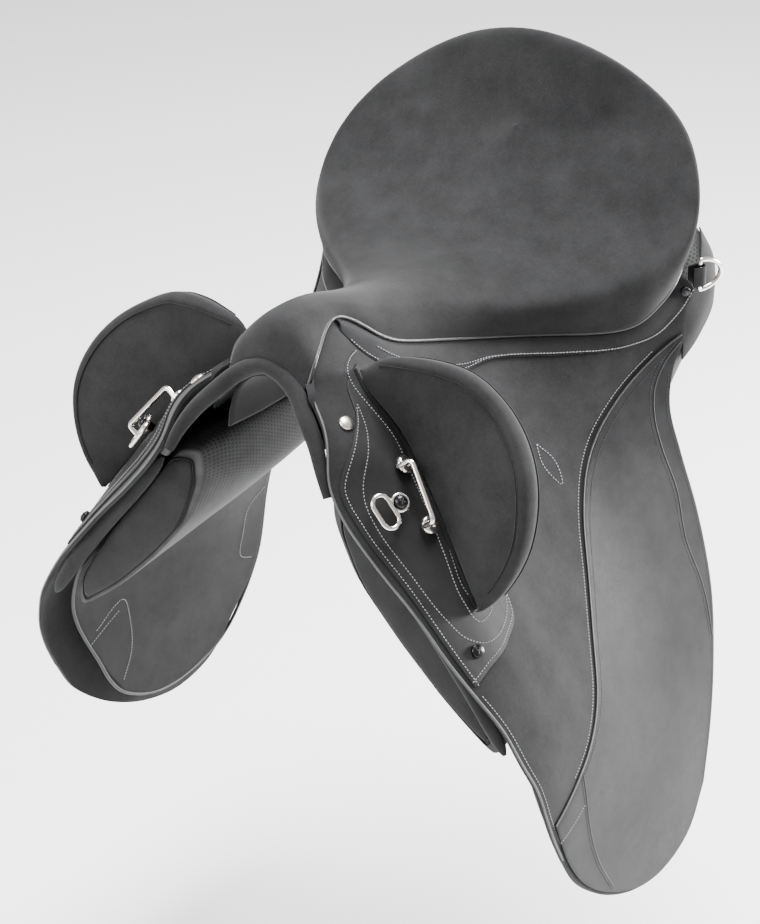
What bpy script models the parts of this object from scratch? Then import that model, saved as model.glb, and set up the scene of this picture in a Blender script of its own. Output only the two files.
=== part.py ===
"""General-purpose riding saddle on a spring tree, with poleys, staples and lifting flaps.

Metres, +Z up. The horse's head is towards -Y and the rider's left (the near side) is +X.
The near side is modelled once, and the off side is its mirror image across X = 0.
"""

import math

import bmesh
import bpy
import numpy as np
from mathutils import Matrix, Vector

# ---------------------------------------------------------------- driving dimensions

FLAP_THICKNESS = 0.004
FACING_THICKNESS = 0.0012
FACING_LIFT = 0.0015  # air between two stacked sheets
STRAP_THICKNESS = 0.0035
HINGE_Z = -0.140  # height of the line where the lower flap bends
HINGE_X = 0.220
HINGE_GAP = 0.0015  # half the slit between the upper and the lower flap
BILLET_DEPTH = -0.0108  # straps and webbing lie this far under the flap's face
SWEAT_DEPTH = -0.0155
SWEAT_KICK_Z = -0.14  # below this height the sweat flap turns in towards the horse
SWEAT_KICK = 0.010
PANEL_GAP = 0.0055  # from the sweat flap's outer face to the panel behind it
WIRE = 0.0022  # radius of the oval ring's wire
STAPLE_WIRE = 0.0025
RING_WIRE = 0.0019
SEAT_SEAM = 0.0085  # the cover stops this far above the welt
WELT_RADIUS = 0.0016

# The side of the saddle: half-width at these heights, for stations along the horse.
HEIGHTS = (-0.40, -0.30, -0.20, -0.15, -0.10, -0.05, 0.0, 0.03, 0.045, 0.06, 0.09)
SIDE_WIDTHS = {
    -0.225: (0.262, 0.258, 0.243, 0.210, 0.168, 0.122, 0.082, 0.063, 0.052, 0.037, 0.012),
    -0.205: (0.262, 0.259, 0.246, 0.218, 0.180, 0.138, 0.098, 0.078, 0.063, 0.044, 0.016),
    -0.185: (0.262, 0.260, 0.247, 0.222, 0.187, 0.149, 0.109, 0.086, 0.068, 0.044, 0.020),
    -0.150: (0.262, 0.259, 0.245, 0.219, 0.184, 0.145, 0.105, 0.080, 0.063, 0.045, 0.021),
    -0.100: (0.262, 0.257, 0.239, 0.211, 0.174, 0.132, 0.091, 0.065, 0.052, 0.038, 0.016),
    0.000: (0.260, 0.252, 0.226, 0.203, 0.176, 0.142, 0.098, 0.067, 0.052, 0.040, 0.020),
    0.060: (0.258, 0.248, 0.230, 0.212, 0.192, 0.168, 0.141, 0.121, 0.111, 0.100, 0.080),
    0.125: (0.256, 0.248, 0.236, 0.224, 0.210, 0.196, 0.183, 0.176, 0.174, 0.172, 0.170),
}

# The seat: position along it, then (y, z) of its spine, (x, y, z) of its rim and of its lower edge.
SEAT = {
    0.00: ((-0.188, 0.080), (0.020, -0.187, 0.073), (0.035, -0.187, 0.063)),
    0.06: ((-0.180, 0.100), (0.020, -0.178, 0.094), (0.035, -0.178, 0.079)),
    0.12: ((-0.160, 0.107), (0.016, -0.159, 0.103), (0.029, -0.162, 0.087)),
    0.20: ((-0.125, 0.105), (0.013, -0.125, 0.102), (0.018, -0.127, 0.094)),
    0.30: ((-0.085, 0.093), (0.024, -0.084, 0.085), (0.031, -0.091, 0.069)),
    0.40: ((-0.040, 0.082), (0.036, -0.036, 0.071), (0.040, -0.050, 0.049)),
    0.50: ((0.010, 0.077), (0.064, 0.006, 0.062), (0.064, 0.004, 0.036)),
    0.62: ((0.065, 0.082), (0.116, 0.052, 0.063), (0.108, 0.053, 0.030)),
    0.72: ((0.110, 0.100), (0.157, 0.096, 0.078), (0.150, 0.088, 0.032)),
    0.80: ((0.142, 0.128), (0.176, 0.134, 0.095), (0.166, 0.110, 0.048)),
    0.87: ((0.164, 0.160), (0.165, 0.167, 0.132), (0.169, 0.138, 0.070)),
    0.93: ((0.178, 0.190), (0.124, 0.194, 0.178), (0.139, 0.190, 0.080)),
    0.97: ((0.186, 0.210), (0.066, 0.196, 0.212), (0.070, 0.220, 0.084)),
    1.00: ((0.189, 0.222), (0.000, 0.192, 0.227), (0.000, 0.227, 0.087)),
}

# Outlines on the side of the saddle are (y, z) points, read as smooth curves.
FLAP_FRONT = ((-0.191, 0.062), (-0.213, 0.037), (-0.225, -0.014), (-0.221, -0.078), (-0.216, -0.138))
FLAP_REAR = ((0.132, 0.050), (0.129, 0.018), (0.104, -0.038), (0.102, -0.090), (0.102, -0.138))
SKIRT_LINE = (
    (-0.101, 0.064), (-0.067, 0.045), (-0.037, 0.035), (0.000, 0.028), (0.046, 0.022),
    (0.087, 0.020), (0.110, 0.028), (0.123, 0.042), (0.130, 0.057),
)
FLAP_TOP = (
    (-0.191, 0.062), (-0.165, 0.080), (-0.127, 0.086), (-0.103, 0.062), (-0.089, 0.044),
    (-0.060, 0.031), (-0.034, 0.023), (0.000, 0.025), (0.046, 0.019), (0.087, 0.017),
    (0.113, 0.026), (0.132, 0.050),
)
LOWER_FRONT = ((-0.216, -0.142), (-0.210, -0.189), (-0.202, -0.235), (-0.185, -0.282), (-0.150, -0.333))
LOWER_REAR = ((0.102, -0.142), (0.098, -0.173), (0.087, -0.227), (0.075, -0.285), (0.045, -0.352))
LOWER_TIP = ((-0.150, -0.333), (-0.111, -0.362), (-0.052, -0.388), (0.000, -0.388), (0.045, -0.352))
GRIP_FRONT = (
    (0.124, 0.016), (0.106, 0.006), (0.072, -0.016), (0.038, -0.042), (0.008, -0.069),
    (-0.015, -0.100), (-0.043, -0.1365),
)
GRIP_REAR = ((0.127, 0.016), (0.113, -0.012), (0.102, -0.038), (0.100, -0.090), (0.100, -0.1365))
GRIP_LOWER_FRONT = ((-0.047, -0.1435), (-0.073, -0.166), (-0.103, -0.196), (-0.140, -0.222), (-0.196, -0.247))
PATCH_FRONT = ((-0.146, 0.061), (-0.170, 0.045), (-0.207, 0.023), (-0.217, -0.022), (-0.216, -0.078), (-0.212, -0.128))
PATCH_REAR = ((-0.132, 0.057), (-0.144, 0.033), (-0.156, 0.002), (-0.170, -0.026), (-0.182, -0.065), (-0.150, -0.108))
POLEY_BASE = ((-0.140, 0.058), (-0.146, 0.040), (-0.147, 0.016), (-0.157, -0.015), (-0.171, -0.052), (-0.178, -0.086))
POLEY_EDGE = (
    (0.060, -0.134, 0.070), (0.108, -0.132, 0.084), (0.165, -0.128, 0.064), (0.205, -0.147, 0.032),
    (0.215, -0.168, -0.022), (0.190, -0.181, -0.076),
)
POLEY_THICKNESS = 0.020
SWEAT_FRONT = (
    (-0.194, -0.040), (-0.198, -0.110), (-0.199, -0.180), (-0.196, -0.226), (-0.176, -0.276), (-0.136, -0.330),
)
SWEAT_REAR = ((0.062, -0.050), (0.060, -0.120), (0.060, -0.200), (0.050, -0.275), (0.008, -0.342))
SWEAT_TIP = ((-0.136, -0.330), (-0.089, -0.353), (-0.038, -0.357), (0.008, -0.342))

# Panel: ten (x, z) corners of its section at stations along the horse. Where a corner's x is None,
# it lies against the back of the sweat flap at that height.
PANEL = {
    -0.198: (
        (0.056, -0.004), (0.056, -0.030), (0.076, -0.078), (0.118, -0.124), (0.160, -0.164),
        (0.204, -0.192), (None, -0.165), (None, -0.110), (None, -0.055), (None, -0.008),
    ),
    -0.140: (
        (0.046, 0.006), (0.048, -0.050), (0.080, -0.086), (0.120, -0.122), (0.160, -0.152),
        (0.196, -0.172), (None, -0.148), (None, -0.100), (None, -0.050), (None, 0.000),
    ),
    -0.060: (
        (0.036, 0.004), (0.044, -0.044), (0.076, -0.070), (0.110, -0.098), (0.145, -0.124),
        (0.174, -0.145), (None, -0.126), (None, -0.088), (None, -0.046), (None, -0.006),
    ),
    0.030: (
        (0.034, 0.004), (0.042, -0.036), (0.074, -0.054), (0.104, -0.074), (0.131, -0.093),
        (0.152, -0.106), (None, -0.092), (None, -0.064), (None, -0.036), (None, -0.010),
    ),
    0.110: (
        (0.034, 0.010), (0.042, -0.024), (0.074, -0.034), (0.106, -0.044), (0.138, -0.052),
        (0.170, -0.052), (None, -0.036), (None, -0.022), (None, -0.010), (0.140, 0.006),
    ),
    0.170: (
        (0.036, 0.030), (0.044, -0.014), (0.074, -0.022), (0.102, -0.028), (0.130, -0.030),
        (0.156, -0.026), (0.169, -0.004), (0.170, 0.018), (0.164, 0.036), (0.110, 0.040),
    ),
    0.232: (
        (0.050, 0.060), (0.052, 0.002), (0.070, -0.010), (0.092, -0.015), (0.114, -0.014),
        (0.136, -0.004), (0.148, 0.016), (0.147, 0.042), (0.134, 0.066), (0.094, 0.074),
    ),
    0.262: (
        (0.078, 0.046), (0.078, 0.026), (0.084, 0.018), (0.094, 0.014), (0.104, 0.014),
        (0.114, 0.020), (0.120, 0.030), (0.118, 0.042), (0.108, 0.050), (0.092, 0.052),
    ),
}

SEAT_STEPS = np.linspace(0, 1, 31)
PANEL_STATIONS = (-0.198, -0.170, -0.140, -0.100, -0.060, -0.015, 0.030, 0.070, 0.110, 0.140, 0.170, 0.205, 0.235, 0.262)

STAPLE_UPPER = (-0.168, 0.007)
STAPLE_LOWER = (-0.179, -0.030)
STAPLE_HEIGHT = 0.013
STAPLE_BEND = 0.0042  # radius of the bend at each end of the bail
KEEPER = (-0.190, -0.011)
OVAL_RADIUS = 0.0068
OVAL_STRAIGHT = 0.0065  # half the length of the oval's straight sides
EYE_RADIUS = 0.0062
EYE_WIRE = 0.0016
NAIL = (-0.187, 0.043)
FLAP_SCREW = (-0.198, -0.110)
REAR_SCREW = (0.131, 0.054)
DEE_BAR = (0.1775, 0.157, 0.058)
DEE_WIDTH = 0.026
DEE_REACH = 0.020
BILLET_PLACES = (-0.078, -0.020)
BILLET_TOP = -0.100
BILLET_LENGTH = 0.215
BILLET_WIDTH = 0.025


# ---------------------------------------------------------------- curves and surfaces


def spline(xs, ys):
    """A smooth function through the points, straight beyond its ends."""
    xs = np.asarray(xs, float)
    ys = np.asarray(ys, float).reshape(len(xs), -1)
    step = np.diff(xs)[:, None]
    rate = np.diff(ys, axis=0) / step
    slope = np.empty_like(ys)
    slope[1:-1] = (rate[:-1] * step[1:] + rate[1:] * step[:-1]) / (step[:-1] + step[1:])
    slope[0], slope[-1] = rate[0], rate[-1]

    def value(x):
        if x <= xs[0]:
            result = ys[0] + slope[0] * (x - xs[0])
        elif x >= xs[-1]:
            result = ys[-1] + slope[-1] * (x - xs[-1])
        else:
            i = min(int(np.searchsorted(xs, x, side="right")) - 1, len(xs) - 2)
            h = xs[i + 1] - xs[i]
            t = (x - xs[i]) / h
            result = (
                (2 * t**3 - 3 * t**2 + 1) * ys[i] + (t**3 - 2 * t**2 + t) * h * slope[i]
                + (3 * t**2 - 2 * t**3) * ys[i + 1] + (t**3 - t**2) * h * slope[i + 1]
            )
        return float(result[0]) if len(result) == 1 else result

    return value


def path(points):
    """A smooth curve through the points, at even speed for 0 to 1."""
    points = np.asarray(points, float)
    along = np.concatenate([[0], np.cumsum(np.linalg.norm(np.diff(points, axis=0), axis=1))])
    return spline(along / along[-1], points)


_profiles = [spline(HEIGHTS, widths) for widths in SIDE_WIDTHS.values()]


def side_width(y, z):
    return spline(list(SIDE_WIDTHS), [profile(z) for profile in _profiles])(min(max(y, -0.25), 0.17))


def side_normal(y, z):
    step = 0.001
    along = (side_width(y + step, z) - side_width(y - step, z)) / (2 * step)
    down = (side_width(y, z + step) - side_width(y, z - step)) / (2 * step)
    return Vector((1, -along, -down)).normalized()


def on_side(y, z, lift=0.0):
    """The point on the near side at (y, z), raised off the surface by lift."""
    return Vector((side_width(y, z), y, z)) + side_normal(y, z) * lift


def sweat_depth(z):
    """How deep the sweat flap's face lies under the flap's: deeper towards its lower edge."""
    t = min(max((SWEAT_KICK_Z - z) / 0.15, 0), 1)
    return SWEAT_DEPTH - SWEAT_KICK * t * t * (3 - 2 * t)


def filled(front, rear, top, bottom):
    """(y, z) inside four outlines: u runs front to rear, v top to bottom."""
    corner = [front(0), rear(0), front(1), rear(1)]

    def place(u, v):
        across = (1 - u) * front(v) + u * rear(v)
        down = (1 - v) * top(u) + v * bottom(u)
        mixed = (1 - v) * ((1 - u) * corner[0] + u * corner[1]) + v * ((1 - u) * corner[2] + u * corner[3])
        return across + down - mixed

    return place


_spine = spline(list(SEAT), [row[0] for row in SEAT.values()])
_rim = spline(list(SEAT), [row[1] for row in SEAT.values()])
_edge = spline(list(SEAT), [row[2] for row in SEAT.values()])
RIM_SHARE = 0.7  # the rim lies this far from the spine to the lower edge


def seat_point(along, across, scale=1.0):
    """The seat's face: across is 0 at the spine and 1 at the lower edge. A scale under 1 shrinks it
    towards a core line under the spine."""
    spine_y, spine_z = _spine(along)
    rim, edge = _rim(along), _edge(along)
    core = np.array([0, spine_y, spine_z - 0.045])
    if across < RIM_SHARE:
        t = across / RIM_SHARE
        start = np.array([0, spine_y, spine_z])
        crown = 0.012 * math.sin(math.pi * t) * min(0, 1 - 2 * along)
        point = start + (rim - start) * np.array([t, t**1.5, t**2]) + np.array([0, 0, crown])
    else:
        t = (across - RIM_SHARE) / (1 - RIM_SHARE)
        bulge = 0.010 * math.sin(math.pi * t) * np.array([min(1, 8 * rim[0]), 0.5 * along**6, 0])
        point = rim + (edge - rim) * t + bulge
    return core + (point - core) * scale


# ---------------------------------------------------------------- materials and objects


def clear_scene():
    for old in list(bpy.data.objects):
        bpy.data.objects.remove(old)


def new_collection(name):
    collection = bpy.data.collections.new(name)
    bpy.context.scene.collection.children.link(collection)
    return collection


def material(name, colour, roughness, metallic=0.0):
    made = bpy.data.materials.new(name)
    made.use_nodes = True
    shader = made.node_tree.nodes["Principled BSDF"]
    shader.inputs["Base Color"].default_value = (*colour, 1)
    shader.inputs["Roughness"].default_value = roughness
    shader.inputs["Metallic"].default_value = metallic
    return made


clear_scene()
SADDLE = new_collection("saddle")
CUTTERS = new_collection("cutters")
SUEDE = material("suede", (0.055, 0.056, 0.060), 0.9)
SMOOTH = material("smooth_leather", (0.075, 0.077, 0.084), 0.42)
PERFORATED = material("panel_leather", (0.060, 0.061, 0.066), 0.6)
STEEL = material("nickel_steel", (0.72, 0.69, 0.66), 0.22, 1.0)
BLACK_STEEL = material("black_steel", (0.03, 0.03, 0.032), 0.35, 1.0)
FOAM = material("foam", (0.55, 0.50, 0.38), 0.95)
BEECH = material("laminated_beech", (0.48, 0.33, 0.18), 0.6)
WEBBING = material("webbing", (0.10, 0.10, 0.11), 0.85)
BINDING = material("welt_binding", (0.04, 0.04, 0.043), 0.45)


def add_object(name, data, look, collection=SADDLE):
    data.materials.append(look)
    made = bpy.data.objects.new(name, data)
    collection.objects.link(made)
    return made


def add_mesh(name, vertices, faces, look):
    mesh = bpy.data.meshes.new(name)
    mesh.from_pydata([tuple(v) for v in vertices], [], faces)
    shape = bmesh.new()
    shape.from_mesh(mesh)
    bmesh.ops.remove_doubles(shape, verts=shape.verts, dist=0.00005)
    bmesh.ops.dissolve_degenerate(shape, edges=shape.edges, dist=0.00005)
    shape.to_mesh(mesh)
    shape.free()
    return add_object(name, mesh, look)


def face_out(mesh):
    shape = bmesh.new()
    shape.from_mesh(mesh)
    bmesh.ops.recalc_face_normals(shape, faces=shape.faces)
    shape.to_mesh(mesh)
    shape.free()


def evaluated_mesh(made):
    bpy.context.view_layer.update()
    graph = bpy.context.evaluated_depsgraph_get()
    return bpy.data.meshes.new_from_object(made.evaluated_get(graph))


def as_mesh(made):
    """Turns a curve object, or one with modifiers, into a plain closed mesh object of its name."""
    mesh = evaluated_mesh(made)
    mesh.transform(made.matrix_world)
    name, look = made.name, made.data.materials[0]
    bpy.data.objects.remove(made)
    shape = bmesh.new()
    shape.from_mesh(mesh)
    bmesh.ops.remove_doubles(shape, verts=shape.verts, dist=0.00001)
    shape.to_mesh(mesh)
    shape.free()
    mesh.materials.clear()
    return add_object(name, mesh, look)


def both_sides(near, pivot=None):
    """Names the object for the near side and adds its mirror image for the off side. A pivot is the
    point that both objects' origins move to, for a piece that turns about it."""
    base = near.name
    near = as_mesh(near)
    mirrored = near.data.copy()
    mirrored.transform(Matrix.Scale(-1, 4, (1, 0, 0)))
    mirrored.flip_normals()
    look = mirrored.materials[0]
    mirrored.materials.clear()
    off = add_object(base + "_off", mirrored, look)
    near.name = base + "_near"
    for made, sign in ((near, 1), (off, -1)):
        if pivot is not None:
            origin = Vector((sign * pivot[0], pivot[1], pivot[2]))
            made.data.transform(Matrix.Translation(-origin))
            made.location = origin
    return near, off


def grid(place, columns, rows):
    """Vertices and faces of place(u, v) over 0 to 1, facing the way that keeps u right and v down."""
    points = [place(i / columns, j / rows) for j in range(rows + 1) for i in range(columns + 1)]
    faces = []
    for j in range(rows):
        for i in range(columns):
            a = j * (columns + 1) + i
            faces.append((a, a + columns + 1, a + columns + 2, a + 1))
    return points, faces


def sheet(name, place, columns, rows, thickness, look):
    """A sheet whose outer face is place(u, v), with its thickness inwards."""
    made = add_mesh(name, *grid(place, columns, rows), look)
    solid = made.modifiers.new("thickness", "SOLIDIFY")
    solid.thickness = thickness
    solid.offset = -1
    return made


def draped(name, area, lift, thickness, look, columns=5, rows=8):
    """A sheet lying along the side of the saddle over area(u, v), at lift(y, z) or a constant."""

    def place(u, v):
        y, z = area(u, v)
        return on_side(y, z, lift(y, z) if callable(lift) else lift)

    return sheet(name, place, columns, rows, thickness, look)


def loft(name, rings, look):
    """A closed solid through rings with the same number of points each, capped at both ends."""
    count = len(rings[0])
    points = [point for ring in rings for point in ring]
    faces = []
    for j in range(len(rings) - 1):
        for i in range(count):
            a, b = j * count + i, j * count + (i + 1) % count
            faces.append((a, b, b + count, a + count))
    faces.append(tuple(reversed(range(count))))
    faces.append(tuple(range((len(rings) - 1) * count, len(rings) * count)))
    made = add_mesh(name, points, faces, look)
    face_out(made.data)
    return made


def ribbon(name, outer, inner, look):
    """A closed shell between two grids of equal size (lists of rows), joined round their edges."""
    rows, columns = len(outer), len(outer[0])
    points = [p for row in outer for p in row] + [p for row in inner for p in row]
    shift = rows * columns
    faces = []
    for j in range(rows - 1):
        for i in range(columns - 1):
            a = j * columns + i
            quad = (a, a + 1, a + columns + 1, a + columns)
            faces += [quad, tuple(v + shift for v in reversed(quad))]
    rim = [i for i in range(columns)]
    rim += [j * columns + columns - 1 for j in range(1, rows)]
    rim += [(rows - 1) * columns + i for i in range(columns - 2, -1, -1)]
    rim += [j * columns for j in range(rows - 2, 0, -1)]
    for a, b in zip(rim, rim[1:] + rim[:1]):
        faces.append((b, a, a + shift, b + shift))
    made = add_mesh(name, points, faces, look)
    face_out(made.data)
    return made


def wire(name, points, radius, look, closed=False, sides=2, collection=SADDLE):
    """A round bar along the points."""
    curve = bpy.data.curves.new(name, "CURVE")
    curve.dimensions = "3D"
    curve.bevel_depth = radius
    curve.bevel_resolution = sides
    curve.use_fill_caps = True
    line = curve.splines.new("POLY")
    line.points.add(len(points) - 1)
    for place, point in zip(line.points, points):
        place.co = (*point, 1)
    line.use_cyclic_u = closed
    return add_object(name, curve, look, collection)


def disc(name, centre, axis, radius, height, look, sides=16, collection=SADDLE):
    """A round head standing on centre, height along axis."""
    shape = bmesh.new()
    bmesh.ops.create_cone(
        shape, cap_ends=True, segments=sides, radius1=radius, radius2=radius * 0.82, depth=height
    )
    mesh = bpy.data.meshes.new(name)
    shape.to_mesh(mesh)
    shape.free()
    turn = Vector(axis).to_track_quat("Z", "Y").to_matrix().to_4x4()
    turn.translation = Vector(centre) + Vector(axis) * height / 2
    mesh.transform(turn)
    return add_object(name, mesh, look, collection)


def joined(body, others):
    """Body united with the other closed shapes, which become cutters."""
    for other in others:
        CUTTERS.objects.link(other)
        SADDLE.objects.unlink(other)
        other.hide_render = True
        other.display_type = "WIRE"
        union = body.modifiers.new(other.name, "BOOLEAN")
        union.operation = "UNION"
        union.object = other
    return body


# ---------------------------------------------------------------- seat and tree


def seat_rows(scale, last, across_end, first=0.0, rows=14, columns=6):
    """Rows of the seat's face from off edge to near edge, shrunk by scale."""
    result = []
    for j in range(rows + 1):
        along = first + (last - first) * j / rows
        near = [seat_point(along, across_end * i / columns, scale) for i in range(columns + 1)]
        off = [point * np.array([-1, 1, 1]) for point in near[:0:-1]]
        result.append(off + near)
    return result


def make_seat():
    def face(u, v):
        depth = Vector(_edge(v) - _rim(v)).length
        return seat_point(v, u * (1 - (1 - RIM_SHARE) * SEAT_SEAM / depth))

    cover = add_mesh("seat_cover", *grid(face, 8, len(SEAT_STEPS) - 1), SUEDE)
    mirror = cover.modifiers.new("mirror", "MIRROR")
    mirror.merge_threshold = 0.0001
    skin = cover.modifiers.new("thickness", "SOLIDIFY")
    skin.thickness = 0.002
    skin.offset = -1
    ribbon("seat_foam", seat_rows(0.90, 0.93, 0.9, 0.04), seat_rows(0.74, 0.93, 0.9, 0.04), FOAM)
    ribbon("tree", seat_rows(0.66, 0.88, 0.82, 0.05), seat_rows(0.53, 0.88, 0.82, 0.05), BEECH)


def make_welts():
    edge = [seat_point(v, 1.0) for v in SEAT_STEPS[1:-1]]
    lifted = [point + np.array([0.0028, 0, 0]) for point in edge]
    both_sides(wire("seat_welt", lifted, WELT_RADIUS, BINDING))


# ---------------------------------------------------------------- flaps and facings


def make_flaps():
    top = path(FLAP_TOP)
    split = lambda front, rear: path((front, rear))
    upper = filled(path(FLAP_FRONT), path(FLAP_REAR), top, split(FLAP_FRONT[-1], FLAP_REAR[-1]))
    both_sides(draped("flap_upper", upper, 0, FLAP_THICKNESS, SUEDE, columns=12, rows=8))
    lower = filled(path(LOWER_FRONT), path(LOWER_REAR), split(LOWER_FRONT[0], LOWER_REAR[0]), path(LOWER_TIP))
    pivot = (HINGE_X, -0.05, HINGE_Z)
    both_sides(draped("flap_lower", lower, 0, FLAP_THICKNESS, SUEDE, columns=8, rows=8), pivot)

    lift = FACING_LIFT + FACING_THICKNESS
    grip_top, grip_foot = (path((GRIP_FRONT[end], GRIP_REAR[end])) for end in (0, -1))
    grip = filled(path(GRIP_FRONT), path(GRIP_REAR), grip_top, grip_foot)
    both_sides(draped("grip_upper", grip, lift, FACING_THICKNESS, SMOOTH, columns=3, rows=8))
    inset = lambda outline: [(y + (0.002 if y < -0.05 else -0.002), z + 0.002) for y, z in outline]
    tip = ((-0.196, -0.247), *inset(((-0.182, -0.285), *LOWER_TIP)))
    grip_low = filled(
        path(GRIP_LOWER_FRONT), path([(LOWER_REAR[0][0] - 0.002, -0.1435), *inset(LOWER_REAR[1:])]),
        split(GRIP_LOWER_FRONT[0], (LOWER_REAR[0][0] - 0.002, -0.1435)), path(tip),
    )
    both_sides(draped("grip_lower", grip_low, lift, FACING_THICKNESS, SMOOTH, columns=7, rows=7), pivot)

    patch_top, patch_foot = (path((PATCH_FRONT[end], PATCH_REAR[end])) for end in (0, -1))
    patch = filled(path(PATCH_FRONT), path(PATCH_REAR), patch_top, patch_foot)
    both_sides(draped("knee_patch", patch, lift, FACING_THICKNESS, SMOOTH, columns=3, rows=9))


def make_skirt():
    line = path(SKIRT_LINE)

    def place(u, v):
        y, z = line(u)
        low = on_side(y, z, 0.0)
        high = Vector(seat_point(0.245 + 0.605 * u, 1.0)) - Vector((0, 0, 0.0042))
        return high.lerp(low, v)

    both_sides(sheet("skirt", place, 16, 2, 0.0025, SUEDE))


def make_sweat_flap():
    area = filled(path(SWEAT_FRONT), path(SWEAT_REAR), path((SWEAT_FRONT[0], SWEAT_REAR[0])), path(SWEAT_TIP))

    both_sides(draped("sweat_flap", area, lambda y, z: sweat_depth(z), 0.0025, SMOOTH, columns=6, rows=9))


# ---------------------------------------------------------------- padding


def make_poley():
    base, free = path(POLEY_BASE), path(POLEY_EDGE)
    rings = []
    steps = 10
    for j in range(steps + 1):
        s = 0.02 + 0.96 * j / steps
        y, z = base(s)
        thick = POLEY_THICKNESS * (0.45 + 0.55 * math.sin(math.pi * s) ** 0.5)
        front = on_side(y, z, 0.005)
        back = on_side(y + 1.1 * thick, z, 0.005)
        tip = Vector(free(s))
        away = Vector((0, thick * 0.9, -thick * 0.35))
        ring = [front, front.lerp(tip, 0.35), front.lerp(tip, 0.7), tip, tip + away * 0.45 + (tip - front).normalized() * 0.004,
                tip + away, back.lerp(tip + away, 0.6), back.lerp(tip + away, 0.3), back]
        rings.append(ring)
    both_sides(loft("poley", rings, SUEDE))


def under_sweat_flap(y, z):
    return side_width(y, z) + (sweat_depth(z) - PANEL_GAP) / side_normal(y, z).x


def panel_corner(k, y):
    """Corner k of the near panel's section at station y."""
    rows = [(station, *row[k]) for station, row in PANEL.items()]
    covered = max([station for station, x, z in rows if x is None], default=-1)
    places = [(under_sweat_flap(station, z) if x is None else x, z) for station, x, z in rows]
    x, z = spline([row[0] for row in rows], places)(y)
    return Vector((under_sweat_flap(y, z) if y <= covered else x, y, z))


def make_panels():
    corners = range(len(PANEL[-0.198]))
    rings = [[panel_corner(k, y) for k in corners] for y in PANEL_STATIONS]
    both_sides(loft("panel", rings, PERFORATED))

    front = rings[0]
    centre = sum(front, Vector()) / len(front)
    face = [centre + (p - centre) * 0.93 for p in front]
    ahead = lambda points, y: [Vector((p.x, y, p.z)) for p in points]
    both_sides(loft("front_gusset", [ahead(face, -0.2015), ahead(face, -0.1990)], SUEDE))

    roll = [(side_width(-0.212, z) - 0.020, -0.2125, z) for z in np.linspace(-0.018, -0.160, 11)]
    both_sides(wire("knee_roll", roll, 0.0075, SUEDE, sides=2))

    stations = PANEL_STATIONS[-5:-1]

    def gusset(u, v):
        y = stations[round(u * (len(stations) - 1))]
        return panel_corner(8 - round(2 * v), y) + Vector((0.0042, 0, 0))

    both_sides(sheet("rear_gusset", gusset, len(stations) - 1, 2, 0.0015, SUEDE))


def make_arch():
    half = [(0.0, -0.1895, 0.0715), (0.013, -0.1895, 0.068), (0.026, -0.1925, 0.0585), (0.038, -0.199, 0.0465),
            (0.052, -0.208, 0.030), (0.0625, -0.2155, 0.010), (0.0675, -0.2195, -0.006)]
    line = path([(-x, y, z) for x, y, z in half[:0:-1]] + half)
    wire("arch_roll", [line(t) for t in np.linspace(0, 1, 29)], 0.0055, SUEDE)

    arch = path(((-0.038, 0.0095), (-0.035, 0.026), (-0.027, 0.046), (-0.013, 0.059), (0.0, 0.062),
                 (0.013, 0.059), (0.027, 0.046), (0.035, 0.026), (0.038, 0.0095)))

    base = spline((-0.178, 0.050, 0.110, 0.142), (0.0095, 0.0095, 0.0135, 0.024))
    height = spline((-0.178, -0.095, -0.030, 0.142), (1.0, 0.85, 0.42, 0.42))

    def lining(u, v):
        x, z = arch(u)
        y = -0.178 + 0.320 * v
        return Vector((x, y, base(y) + (z - base(-0.178)) * height(y)))

    sheet("gullet_lining", lining, 14, 10, 0.002, SUEDE)

    plate = path(((-0.068, 0.012), (-0.061, 0.027), (-0.045, 0.047), (-0.018, 0.0655), (0.0, 0.068),
                  (0.018, 0.0655), (0.045, 0.047), (0.061, 0.027), (0.068, 0.012)))

    def head(u, v):
        x, z = plate(u)
        return Vector((x, -0.172 + 0.022 * v, z))

    sheet("gullet_plate", head, 14, 1, 0.003, BLACK_STEEL)


# ---------------------------------------------------------------- straps and bar


def make_straps():
    web_area = lambda u, v: (-0.100 + 0.102 * u, -0.010 - 0.084 * v)
    both_sides(draped("girth_web", web_area, BILLET_DEPTH, 0.002, WEBBING, columns=3, rows=5))
    for name, middle in zip(("front_billet", "rear_billet"), BILLET_PLACES):
        area = lambda u, v, m=middle: (m + (u - 0.5) * BILLET_WIDTH, BILLET_TOP - BILLET_LENGTH * v)
        pivot = on_side(middle, BILLET_TOP, BILLET_DEPTH)
        both_sides(draped(name, area, BILLET_DEPTH + 0.001, STRAP_THICKNESS, SMOOTH, columns=1, rows=8), pivot)

    bar = [on_side(y, 0.040 - 0.24 * (y + 0.115), -0.0175) for y in np.linspace(-0.115, -0.030, 8)]
    both_sides(wire("stirrup_bar", bar, 0.0035, STEEL, sides=2))


# ---------------------------------------------------------------- metalwork


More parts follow.
